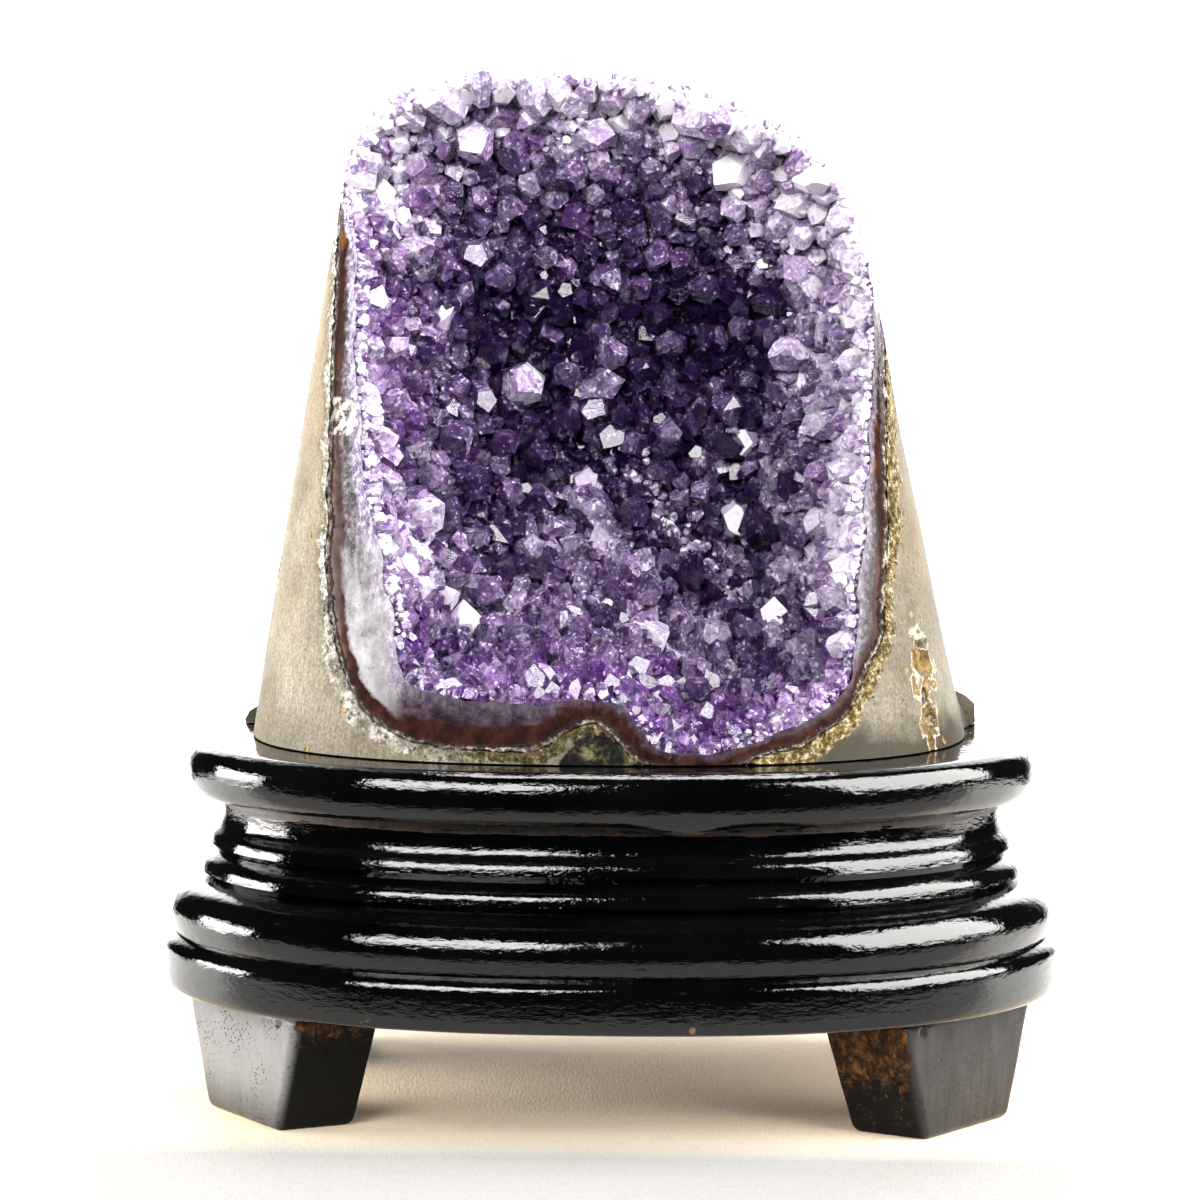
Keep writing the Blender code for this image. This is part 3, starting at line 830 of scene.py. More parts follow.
def graded(half, radius, step):
    """Return places from -half to half, closer together in the rounded ends."""
    ends = np.linspace(0.0, radius, 4)[:-1]
    middle = np.linspace(-half + radius, half - radius, max(2, round((half - radius) * 2.0 / step)))
    return np.concatenate([-half + ends, middle, (half - ends)[::-1]])


def block_grid(half, radius, step):
    """Return points and faces of a rounded block about the origin, finely divided."""
    axes = [graded(size, radius, step) for size in half]
    points, faces = [], []
    for axis in range(3):
        u, v = [axes[k] for k in range(3) if k != axis]
        for side in (0, -1):
            start = len(points)
            for a in u:
                for b in v:
                    point = [a, b]
                    point.insert(axis, axes[axis][side])
                    points.append(point)
            for i in range(len(u) - 1):
                for j in range(len(v) - 1):
                    k = start + i * len(v) + j
                    faces.append((k, k + 1, k + len(v) + 1, k + len(v)))
    unique, place = np.unique(np.round(points, 7), axis=0, return_inverse=True)
    place = place.reshape(-1)
    inner = np.clip(unique, -np.array(half) + radius, np.array(half) - radius)
    away = unique - inner
    length = np.linalg.norm(away, axis=1, keepdims=True)
    rounded = inner + away * radius / np.maximum(length, 1e-9)
    return rounded, [tuple(int(place[k]) for k in face) for face in faces]


def foot(side, end, node, material):
    """Build one tapered foot with rounded edges, saw grain and small holes."""
    half = 0.5 * np.array([*FOOT_TOP_REACH, FOOT_TOP])
    points, faces = block_grid(half, FOOT_EDGE_ROUND, FOOT_GRID)
    share = points / half * 0.5 + 0.5
    along, inwards, rise = share.T
    outer_way = np.array([math.cos(FOOT_OUTER_FACE), math.sin(FOOT_OUTER_FACE)])
    inner_way = np.array([math.cos(FOOT_INNER_FACE), math.sin(FOOT_INNER_FACE)])
    up = share[:, 2:]
    corner = np.array(FOOT_SOLE_CORNER) * (1.0 - up) + np.array(FOOT_TOP_CORNER) * up
    reach = np.array(FOOT_SOLE_REACH) * (1.0 - up) + np.array(FOOT_TOP_REACH) * up
    inner_share = 1.0 if end > 0 else BACK_FOOT_INNER_SHARE
    plan = (corner + outer_way * reach[:, :1] * share[:, :1]
            + inner_way * reach[:, 1:] * inner_share * share[:, 1:2])
    outer_normal = np.array([outer_way[1], -outer_way[0]])
    inner_normal = np.array([-inner_way[1], inner_way[0]])
    inner_normal = inner_normal if inner_normal @ outer_way < 0 else -inner_normal
    on_outer = smooth_step(0.10, 0.02, inwards)
    on_inner = smooth_step(0.05, 0.01, along)
    keep = smooth_step(0.0, 0.06, rise) * smooth_step(1.0, 0.94, rise)
    for k in range(len(plan)):
        seed = Vector((plan[k][0] * side, plan[k][1] * end, 0.0))
        push = sum(height * noise.noise(Vector((seed.x * plan_rate, seed.y * plan_rate, rise[k] * rise_rate)))
                   for plan_rate, rise_rate, height in FOOT_ROUGHNESS)
        for face, across, height, radius in FOOT_HOLES if end > 0 else ():
            on_face = on_outer[k] if face == "outer" else on_inner[k]
            place = along[k] * FOOT_TOP_REACH[0] if face == "outer" else inwards[k] * FOOT_TOP_REACH[1]
            if on_face > 0.5 and math.hypot(place - across, rise[k] * FOOT_TOP - height) < radius:
                push -= FOOT_HOLE_DEPTH
        plan[k] += keep[k] * push * (outer_normal * on_outer[k] + inner_normal * on_inner[k])
    made_points = np.stack([plan[:, 0] * side, plan[:, 1] * end, rise * FOOT_TOP], axis=1)
    made = solid_object(node + "_turned", made_points, faces)

    # Wear and painted reflection: the left feet's outer faces are painted grey, lighter towards the top, as
    # painted reflection, the right feet's faintly; the right feet are barer within
    inner = smooth_step(0.05, 0.0, along) if end > 0 else np.zeros(len(share))
    worn = smooth_step(0.55, 1.0, rise) * 0.9 if side < 0 else 0.35 + 0.65 * smooth_step(0.2, 0.9, rise)
    set_attribute(made, "bare", np.maximum(inner * worn, smooth_step(0.025, 0.0, rise) * 0.7))
    painted_reflection_grey = (0.35 + 0.65 * smooth_step(0.0, 0.45, rise)) if side < 0 else 0.15
    set_attribute(made, "outer", on_outer * painted_reflection_grey)
    dress(made, material, "black_lacquered_wood", node, smooth=50)


# The stone

def stone_angles(front_count, back_count):
    """Return angles round the stone, closer together on the front."""
    front = math.pi + math.pi * (np.arange(front_count) + 0.5) / front_count
    back = math.pi * (np.arange(back_count) + 0.5) / back_count
    return np.concatenate([back, front])


def build_stone(material, outline):
    """Build the basalt: ground in front, with pits, and rough at the back."""
    rings = stone_rings(stone_angles(STONE_FRONT, STONE_BACK), STONE_RINGS, detailed=True)
    stone = lofted("ground_basalt_stone", rings)
    space = bowl("lining_space", outline, 0.0, CUTTER_RINGS, relief=False)
    carve(stone, ((space, "DIFFERENCE"),))
    crumble(stone, outline)
    points = points_of(stone)
    set_attribute(stone, "edge_mm", distance_to_line(points, outline) * 1000.0)
    rind = smooth_step(RIND_START_Y - 0.001, RIND_START_Y + 0.013, points[:, 1])
    centre, radius, _ = RIND_BIT
    rind[np.linalg.norm(points - centre, axis=1) < 1.5 * radius] = 1.4
    set_attribute(stone, "rind", rind)
    deep = ([smooth_step(*PIT_STAIN, pit_distance(Vector(point), *pit)) for pit in PITS] for point in points)
    set_attribute(stone, "pit", [max(each) for each in deep])
    dress(stone, material, "ground_basalt", "basalt_matrix", smooth=38)


def crumble(piece, outline):
    """Break up the surface along the line where basalt and agate meet."""
    points = points_of(piece)
    behind = points[:, 1] - front_y(points[:, 0], points[:, 2])
    chosen = np.flatnonzero((points[:, 1] < LINING_CROWN_Y) & (behind < WALL_BEHIND))
    away = distance_to_line(points[chosen], outline)
    coarse, fine = CRUMBLE_SIZES
    for k, near in zip(chosen, smooth_step(CRUMBLE_REACH, 0.0, away)):
        if near > 0.0:
            vert = piece.data.vertices[int(k)]
            rough = 0.5 + noise.noise(vert.co / coarse) + 0.6 * noise.noise(vert.co / fine)
            vert.co -= vert.normal * CRUMBLE_DEPTH * near * max(rough, 0.0)


def build_lining(material, outer, inner):
    """Build the agate lip and the wall behind the crystals, cut by the hollow."""
    rings = stone_rings(stone_angles(LINING_FRONT, LINING_BACK), LINING_RINGS, detailed=False)
    lining = lofted("agate_lining", rings)
    body = bowl("lining_body", outer, 0.0, CUTTER_RINGS, relief=False)
    hollow = bowl("hollow", inner, WALL_INSET, WALL_RINGS, relief=True)
    carve(lining, ((body, "INTERSECT"), (hollow, "DIFFERENCE")))
    crumble(lining, outer)
    points = points_of(lining)
    from_outer = distance_to_line(points, outer)
    from_inner = distance_to_line(points, inner, closed=True)
    set_attribute(lining, "edge_mm", from_outer * 1000.0)
    set_attribute(lining, "band", from_outer / np.maximum(from_outer + from_inner, 1e-6))
    behind = points[:, 1] - front_y(points[:, 0], points[:, 2])
    set_attribute(lining, "wall", smooth_step(WALL_BEHIND, 0.0030, behind))
    # How far inside the crystal line, for the wall's painted shade deeper in.
    set_attribute(lining, "deep", smooth_step(0.0040, 0.0160, from_inner))
    dress(lining, material, "amethyst_crystal", "amethyst_crust", smooth=35)


# The crystals

def plane_polytope(normals, offsets):
    """Return the corners and faces of the space behind a set of planes."""
    trios = np.array(list(itertools.combinations(range(len(normals)), 3)))
    matrices = normals[trios]
    usable = np.abs(np.linalg.det(matrices)) > 1e-6
    corners = np.linalg.solve(matrices[usable], offsets[trios[usable]][..., None])[..., 0]
    corners = corners[np.all(corners @ normals.T <= offsets + 1e-7, axis=1)]
    corners = np.unique(np.round(corners, 6), axis=0)
    faces = []
    for normal, offset in zip(normals, offsets):
        on = np.flatnonzero(np.abs(corners @ normal - offset) < 1e-5)
        if len(on) < 3:
            continue
        centre = corners[on].mean(axis=0)
        side = corners[on[0]] - centre
        side /= max(np.linalg.norm(side), 1e-9)
        other = np.cross(normal, side)
        turn = np.arctan2((corners[on] - centre) @ other, (corners[on] - centre) @ side)
        faces.append([int(k) for k in on[np.argsort(turn)]])
    return corners, faces


def crystal_shapes(rng):
    """Return quartz crystals of unit half width: six prism faces and an uneven six-sided point."""
    shapes = []
    tilt_sin, tilt_cos = math.sin(RHOMB_ANGLE), math.cos(RHOMB_ANGLE)
    for _ in range(CRYSTAL_SHAPES):
        shoulder = rng.choice(SHOULDERS) * rng.uniform(0.7, 1.3)
        normals, offsets = [(0.0, 0.0, -1.0)], [CRYSTAL_ROOT]
        lesser = rng.randrange(2)
        setback = rng.uniform(0.10, 0.62)
        for k in range(6):
            angle = math.tau * k / 6.0
            x, y = math.cos(angle), math.sin(angle)
            width = rng.uniform(0.80, 1.0)
            normals.append((x, y, 0.0))
            offsets.append(width)
            back = (setback if k % 2 == lesser else 0.0) + rng.uniform(-0.13, 0.13)
            normals.append((x * tilt_sin, y * tilt_sin, tilt_cos))
            offsets.append(tilt_sin + shoulder * tilt_cos + back)
        corners, faces = plane_polytope(np.array(normals), np.array(offsets))
        shapes.append((corners, faces, math.tau * (1 - lesser) / 6.0))
    return shapes


def turned(direction, spin):
    """Return the 3 x 3 matrix that takes +Z to a direction, turned by spin."""
    way = Vector(direction).normalized()
    side = way.orthogonal().normalized()
    other = way.cross(side)
    first = side * math.cos(spin) + other * math.sin(spin)
    return np.array([first, way.cross(first), way]).T


def mirror_turn(facing, preferred, main_turn):
    """Return the 3 x 3 matrix that turns a crystal's largest point face to look along facing."""
    facing = Vector(facing).normalized()
    aside = Vector(preferred) - facing * facing.dot(Vector(preferred))
    aside = aside.normalized() if aside.length > 1e-3 else facing.orthogonal().normalized()
    axis = facing * math.cos(RHOMB_ANGLE) + aside * math.sin(RHOMB_ANGLE)
    across = (facing - axis * math.cos(RHOMB_ANGLE)) / math.sin(RHOMB_ANGLE)
    other = axis.cross(across)
    first = across * math.cos(main_turn) - other * math.sin(main_turn)
    return np.array([first, axis.cross(first), axis]).T


def outside_stone(points, proud):
    """Tell which points of the front half stand out of the stone's outside, grown by proud at the crown."""
    swell = proud * smooth_step(PROUD_START, PROUD_FULL, points[:, 2])
    height = points[:, 2] - swell
    left, right, front, back = stone_extents(np.clip(height, STONE_BASE, STONE_CROWN))
    middle = section_middle(front, back)
    across = np.abs(points[:, 0] - 0.5 * (left + right)) / (0.5 * (right - left) + swell)
    depth = np.where(points[:, 1] > middle, back - middle, middle - front) + swell
    along = np.abs(points[:, 1] - middle) / depth
    beyond = (height > STONE_CROWN) | (points[:, 2] < STONE_BASE)
    return (across ** STONE_EXPONENT + along ** STONE_EXPONENT > 1.0) | beyond


class CrystalBed:
    """Collects crystals and joins each zone's into one mesh."""

    def __init__(self, rng, shapes):
        self.rng = rng
        self.shapes = shapes
        self.roots = np.zeros((MOST_CRYSTALS, 3))
        self.sizes = np.zeros(MOST_CRYSTALS)
        self.count = 0
        self.zones = collections.defaultdict(lambda: collections.defaultdict(list))
        self.corners = collections.Counter()

    def crowded(self, root, size, closeness):
        """Tell whether a crystal would stand too close to another."""
        near = np.linalg.norm(self.roots[:self.count] - root, axis=1)
        return bool(np.any(near < closeness * (self.sizes[:self.count] + size)))

    def grow(self, root, direction, size, zone, pale, proud=0.0, stretch=1.0, facing=None):
        """Add one crystal, smaller if it would stand out of the stone, or none if it finds no room."""
        corners, faces, main_turn = self.rng.choice(self.shapes)
        matrix = turned(direction, self.rng.uniform(0.0, math.tau))
        if facing is not None:
            matrix = mirror_turn(facing, direction, main_turn)
        for _ in range(6):
            points = (corners * (size, size, size * stretch)) @ matrix.T + np.array(root)
            if not outside_stone(points, proud).any() and points[:, 2].max() < CROWN_LIMIT:
                break
            size *= 0.84
        else:
            return
        self.roots[self.count] = root
        self.sizes[self.count] = size
        self.count += 1
        bucket = self.zones[zone]
        bucket["faces"].extend([[self.corners[zone] + k for k in face] for face in faces])
        bucket["points"].append(points)
        self.corners[zone] += len(points)
        # A random tone for each face: painted shading of the facets.
        bucket["facet_painted_shade"].extend(self.rng.random() for _ in faces)
        bucket["pale"].append(np.full(len(points), pale))
        bucket["tint"].append(np.full(len(points), self.rng.random()))

    def build(self, zone, material):
        """Make the mesh of one zone's crystals."""
        bucket = self.zones[zone]
        made = mesh_object("crystals_" + zone, np.concatenate(bucket["points"]), bucket["faces"])
        for name in ("pale", "tint"):
            set_attribute(made, name, np.concatenate(bucket[name]))
        set_attribute(made, "facet_painted_shade", bucket["facet_painted_shade"], "FACE")
        dress(made, material, "amethyst_crystal", "amethyst_crust")


def outwards(normal, root):
    """Return a wall normal turned towards the hollow's mouth."""
    return normal if normal.dot(Vector(HOLLOW_MOUTH) - root) > 0 else -normal


def leaning(rng, normal, amount):
    """Return a random direction about a normal, tipped a little forward."""
    lean = Vector([rng.gauss(0.0, amount) for _ in range(3)])
    return (normal + lean + Vector((0.0, FORWARD_LEAN, 0.0))).normalized()


def grow_large(bed, rng, wall):
    """Set the crystals that stand out in the photograph where its pixels say."""
    start = camera_place()
    for px, py, width, pale, kind, bright in LARGE_CRYSTALS:
        ray = pixel_ray(px, py)
        hit, normal, _, _ = wall.ray_cast(start, ray)
        if hit is None:
            continue
        size = 0.5 * width * METRES_PER_PIXEL
        direction = leaning(rng, outwards(normal, hit), LARGE_LEAN)
        root = hit - direction * size * 0.3 + ray * size * 0.4
        facing = None
        if bright:
            facing = (start - hit).normalized() + lamp_way(SOFTBOXES[0])
            facing += Vector([rng.gauss(0.0, 0.10) for _ in range(3)])
            size, kind = 0.84 * size, "bright"
        # Painted shade for the crystals deep in the bowl.
        if kind == "deep":
            pale -= DEEP_SHADE
        bed.grow(root, direction, size, kind, pale, CROWN_PROUD, stretch=1.15, facing=facing)


def grow_seam(bed, rng, wall):
    """Set a seam of small pale crystals across the hollow."""
    start = camera_place()
    seam = spline_points(SEAM_PIXELS, 12, closed=False)
    for k in range(SEAM_CRYSTALS):
        share = (k + rng.random()) / SEAM_CRYSTALS
        px, py = seam[int(share * (len(seam) - 1))]
        ray = pixel_ray(px + rng.gauss(0, SEAM_STRAY[0]), py + rng.gauss(0, SEAM_STRAY[1]))
        hit, normal, _, _ = wall.ray_cast(start, ray)
        size = rng.uniform(*SEAM_SIZES)
        direction = leaning(rng, outwards(normal, hit), SEAM_LEAN)
        bed.grow(hit + direction * SEAM_LIFT, direction, size, "field", rng.uniform(0.4, 0.9))


def grow_crown(bed, rng, low_size, high_size, closeness):
    """Set crystals along the broken crown, where the hollow's wall comes through the top."""
    for _ in range(CROWN_TRIES):
        height = STONE_CROWN - CROWN_FALL * rng.random() ** 1.6
        left, right, front, back = (float(value[0]) for value in stone_extents(height))
        middle = float(section_middle(front, back))
        along = rng.uniform(-1.0, 0.35)
        across = (1.0 - abs(along) ** STONE_EXPONENT) ** (1.0 / STONE_EXPONENT) * rng.choice((-1.0, 1.0))
        x = 0.5 * (left + right) + 0.5 * (right - left) * across
        y = middle + along * (back - middle if along > 0 else middle - front)
        if not CROWN_BAND[0] < y < CROWN_BAND[1]:
            continue
        size = rng.uniform(low_size, high_size)
        root = np.array([x - 0.8 * size * across, y + 0.4 * size, height - 0.9 * size])
        if bed.crowded(root, size, closeness):
            continue
        lean = [rng.gauss(0, 0.3), rng.gauss(0, 0.25), rng.gauss(0, 0.3)]
        way = Vector((0.35 * across + lean[0], -0.75 + lean[1], 0.30 + lean[2]))
        pale = rng.choice((0.6, 1.0, 1.15, 1.25)) + rng.uniform(-0.1, 0.1)
        bed.grow(root, way.normalized(), size, "rim", pale, CROWN_PROUD)


def grow_edge(bed, rng, line):
    """Set small crystals along the line where the polished lip ends."""
    for _ in range(EDGE_CRYSTALS):
        k = rng.randrange(len(line))
        x, z = line[k] + rng.random() * (line[(k + 1) % len(line)] - line[k])
        x, z = x + rng.gauss(0.0, EDGE_STRAY), z + rng.gauss(0.0, EDGE_STRAY)
        if z > CROWN_SLOPE_START or (z < LOW_EDGE_Z and x < 0.030 and rng.random() < 0.75):
            continue
        size = rng.uniform(*EDGE_SIZES)
        root = np.array([x, float(front_y(x, z)[0]) + EDGE_RECESS + 0.9 * size, z])
        if not bed.crowded(root, size, EDGE_CLOSENESS):
            way = Vector((rng.gauss(0.0, EDGE_LEAN), -1.0, rng.gauss(0.0, EDGE_LEAN))).normalized()
            pale = rng.uniform(0.7, 1.2) if z > LOW_EDGE_Z else rng.uniform(0.1, 0.6)
            bed.grow(root, way, size, "rim", pale)


def zone_and_paleness(rng, place, inside, turn):
    """Return the zone and the paleness of a crystal, from how far inside and how far down the bowl it is;
    painted shade is taken off the paleness deep in the bowl and under the hollow's top.
    """
    part = {name: float(smooth_step(low, high, place[axis])) for name, axis, low, high in HOLLOW_PARTS}
    right_half = place[0] > 0
    not_low = 1.0 - part["low"]
    near_rim = float(smooth_step(RIM_ZONE, 0.0, inside))
    rim_reach, rim_full = HIGH_RIM_RIGHT if right_half else HIGH_RIM_LEFT
    high_rim = float(smooth_step(rim_reach, rim_full, inside)) * part["high"]
    turn = turn + rng.gauss(0.0, DEEP_STRAY)
    # Painted shade: darker deep down the bowl and inside the hollow's top.
    shade = DEEP_SHADE * float(smooth_step(*DEEP_TURNS, turn)) * (0.78 + 0.22 * part["upper"])
    shade += TOP_SHADE * part["upper"] * float(smooth_step(*TOP_SHADE_INSIDE, inside))
    left_part = part["left"] * (1.0 - near_rim) * (1.0 - high_rim)
    ridge = 0.54 * (1.0 - part["low"] * (1.0 - 0.9 * part["far_right"])) if right_half else 0.45 * not_low
    pale = (max(near_rim ** 1.6 * ridge, high_rim * 1.02) + RIGHT_PALER * part["right"] * not_low
            - LEFT_DARKER * left_part - LOW_DARKER * part["low"])
    pale += rng.choice(PALE_STEPS) * (1.0 - 0.5 * part["low"]) + rng.uniform(-0.1, 0.1)
    pale += LOWER_HALF_PALER * part["lower_half"] * not_low
    zone = "deep" if turn > DEEP_TURN else "field"
    if inside < RIM_ZONE * 0.55 or high_rim > 0.5:
        zone = "rim"
    return zone, min(max(pale, 0.0), PALEST) - shade


def grow_wall(bed, rng, wall, line):
    """Cover the hollow's wall with crystals, the larger ones first."""
    count = len(line)
    edges, turns, flat = [], [], []
    for _ in range(WALL_TRIES):
        position = rng.random() * count
        i = int(position)
        edge = line[i] + (position - i) * (line[(i + 1) % count] - line[i])
        turn = 0.5 * math.pi * rng.random() ** 0.72
        inwards = math.cos(turn) ** float(squareness(edge[1]))
        edges.append(edge)
        turns.append(turn)
        x, z = DEEPEST.x + inwards * (edge[0] - DEEPEST.x), DEEPEST.z + inwards * (edge[1] - DEEPEST.z)
        flat.append((x, 0.0, z))
    edges, turns, flat = np.array(edges), np.array(turns), np.array(flat)
    start_y = bowl_start(edges, WALL_INSET)
    relief = wall_relief(flat[:, 0], flat[:, 2]) * np.sin(turns)
    flat[:, 1] = start_y + np.sin(turns) * (DEEPEST.y - WALL_INSET - start_y) + relief
    inside = distance_to_line(flat, line, closed=True)
    for low_size, high_size, closeness, tries in CRYSTAL_ROUNDS:
        for k in rng.sample(range(len(flat)), tries):
            near_rim = float(smooth_step(RIM_ZONE, 0.0, inside[k]))
            size = rng.uniform(low_size, high_size) * (1.0 - RIM_SHRINK * near_rim)
            if bed.crowded(flat[k], size, closeness):
                continue
            root = Vector(flat[k])
            _, normal, _, _ = wall.find_nearest(root)
            direction = leaning(rng, outwards(normal, root), CRYSTAL_LEAN)
            zone, pale = zone_and_paleness(rng, flat[k], inside[k], turns[k])
            bed.grow(root, direction, size, zone, pale, CROWN_PROUD, rng.uniform(*CRYSTAL_STRETCH))


def grow_crystals(line):
    """Cover the hollow's wall and the crown's edge with crystals."""
    rng = random.Random(CRYSTAL_SEED)
    bed = CrystalBed(rng, crystal_shapes(rng))
    rings = bowl_rings(line, WALL_INSET, WALL_RINGS, relief=True)
    points = [tuple(point) for point in np.concatenate(rings)]
    wall = BVHTree.FromPolygons(points, grid_faces(len(rings), len(line)))
    grow_large(bed, rng, wall)
    grow_seam(bed, rng, wall)
    grow_crown(bed, rng, *CROWN_LARGE)
    grow_wall(bed, rng, wall, line)
    grow_crown(bed, rng, *CROWN_SMALL)
    grow_edge(bed, rng, line)
    return bed


# Materials

def basalt_finish():
    """Ground khaki basalt with grinding grain, ochre and white along the lining, brown rind at the back, and
    painted shade towards the right side and the base.
    """
    f = Finish("ground_basalt_surface", Roughness=0.62, Specular_IOR_Level=0.12)
    x, y, z = f.axis("X"), f.axis("Y"), f.axis("Z")
    colour = f.ramp(f.noise(60.0, 6.0, 0.65), (0.30, (0.170, 0.154, 0.120)), (0.50, (0.248, 0.226, 0.181)),
                    (0.72, (0.335, 0.311, 0.257)))
    grain = f.noise(1.0, 5.0, 0.7, stretch=(1500.0, 1500.0, 120.0))
    shade = f.ramp(grain, (0.32, (0.50, 0.47, 0.42)), (0.68, (1.0, 0.99, 0.96)))
    colour = f.mix(0.75, colour, shade, "MULTIPLY")
    fleck = f.ramp(f.noise(1400.0, 3.0, 0.7), (0.42, (0.55, 0.52, 0.46)), (0.60, (1.0, 1.0, 1.0)))
    colour = f.mix(0.8, colour, fleck, "MULTIPLY")
    speck = f.cells_below(520.0, 0.17) * f.spread(f.noise(55.0, 2.0), 0.50, 0.62)
    colour = f.mix(speck, colour, (0.075, 0.048, 0.022))
    warm = f.spread(f.noise(20.0, 3.0), 0.50, 0.72)
    colour = f.mix(warm * 0.40, colour, (0.25, 0.165, 0.08))
    # Painted shade: up to a quarter darker towards the right side, against the right softbox's strong light.
    colour = f.mix(f.spread(x, 0.03, 0.06, 0.0, 0.26), colour, (0.05, 0.045, 0.030))
    # Painted shade: darker towards the base, where the stone sits in the tray, more so on the right.
    low = z + f.stray(0.004, 60.0, 3.0)
    painted_base_shade = f.spread(low, 0.0930, 0.0855) * f.spread(x, -0.02, 0.03, 0.25, 0.92)
    colour = f.mix(painted_base_shade, colour, (0.028, 0.024, 0.015))
    spot = f.cells_below(95.0, 0.10) * f.spread(f.noise(420.0, 4.0, 0.7), 0.40, 0.52)
    ochre_spot = f.ramp(f.noise(700.0, 3.0), (0.4, (0.05, 0.028, 0.010)), (0.6, (0.30, 0.20, 0.08)))
    colour = f.mix(spot, colour, ochre_spot)

    # The crumbled line beside the lining: creamy at the left, olive under the arch, ochre at the right
    ochre_side = f.spread(x + f.stray(0.012, 60.0, 2.0), 0.026, 0.036)
    wide = f.spread(f.noise(90.0, 2.0), 0.35, 0.65, -0.9, 0.9)
    ragged = f.attribute("edge_mm") + wide + f.stray(1.3, 420.0, 5.0, 0.8)
    grit = f.noise(680.0, 6.0, 0.85)
    creamy = f.ramp(grit, (0.38, (0.030, 0.020, 0.012)), (0.44, (0.12, 0.095, 0.065)),
                    (0.50, (0.28, 0.265, 0.235)), (0.60, (0.66, 0.65, 0.62)))
    olive = f.ramp(grit, (0.40, (0.008, 0.007, 0.005)), (0.48, (0.036, 0.029, 0.013)),
                   (0.56, (0.11, 0.082, 0.028)), (0.66, (0.34, 0.31, 0.23)))
    ochre = f.ramp(grit, (0.40, (0.010, 0.007, 0.003)), (0.46, (0.062, 0.042, 0.010)),
                   (0.53, (0.17, 0.120, 0.032)), (0.61, (0.46, 0.42, 0.32)))
    arch = f.spread(x, -0.040, -0.026) * f.spread(z, 0.098, 0.092)
    low_left = f.spread(x, -0.020, -0.034) * f.spread(z, 0.112, 0.098)
    creamy = f.mix(low_left * f.spread(f.noise(170.0, 5.0, 0.75), 0.46, 0.56, 0.0, 0.8), creamy, olive)
    edge_colour = f.mix(ochre_side, f.mix(arch, creamy, olive), ochre)
    reach = f.spread(low_left, 0.0, 1.0, 1.1, 3.7) + ochre_side * 1.3 + arch * 0.8
    colour = f.mix(f.spread(ragged - reach, 0.5, 0.0), colour, edge_colour)

    across, up = (x - EYE[0]) * (1.0 / EYE[2]), (z - EYE[1]) * (1.0 / EYE[3])
    eye = across * across + up * up + f.stray(0.80, 130.0, 6.0, 0.8)
    eye = eye * f.spread(y, 0.0, 0.01, 1.0, 9.0)
    dark = f.ramp(f.noise(260.0, 6.0, 0.75), (0.42, (0.0004, 0.0005, 0.0004)), (0.50, (0.003, 0.004, 0.002)),
                  (0.56, (0.026, 0.024, 0.010)), (0.64, (0.12, 0.11, 0.06)))
    colour = f.mix(f.spread(eye, 1.30, 1.05), colour, (0.004, 0.004, 0.002))
    colour = f.mix(f.spread(eye, 1.02, 0.86), colour, dark)

    pit = f.attribute("pit")
    pitted = pit + f.stray(0.55, 330.0, 6.0, 0.8) * f.spread(pit, 0.0, 0.2)
    crust = f.ramp(pitted * 0.5 + grit * 0.55, (0.42, (0.56, 0.53, 0.45)), (0.52, (0.30, 0.25, 0.16)),
                   (0.58, (0.045, 0.030, 0.018)), (0.66, (0.14, 0.085, 0.030)), (0.80, (0.27, 0.185, 0.080)))
    colour = f.mix(f.spread(pitted, 0.20, 0.38), colour, crust)

    rind = f.spread(f.attribute("rind") + f.stray(0.36, 150.0, 5.0, 0.7), 0.38, 0.66)
    rock = f.ramp(f.noise(120.0, 6.0, 0.65), (0.32, (0.014, 0.010, 0.007)), (0.50, (0.042, 0.031, 0.020)),
                  (0.62, (0.062, 0.058, 0.038)), (0.78, (0.13, 0.11, 0.075)))
    rock = f.mix(f.spread(x, -0.0792, -0.0802, 0.0, 0.75), rock, (0.010, 0.008, 0.005))
    f.set("Base Color", f.mix(rind * 0.95, colour, rock))
    f.set("Roughness", f.spread(rind, 0.0, 1.0, 0.55, 0.86))

    fine = f.bump(grain, 0.00010)
    lumpy = f.bump(f.noise(260.0, 6.0, 0.7) * (rind + 0.05), 0.0016, fine)
    f.set("Normal", f.bump(f.noise(700.0, 5.0, 0.75) * (f.spread(ragged, 2.4, 1.0) + pit), 0.0006, lumpy))
    return f.material


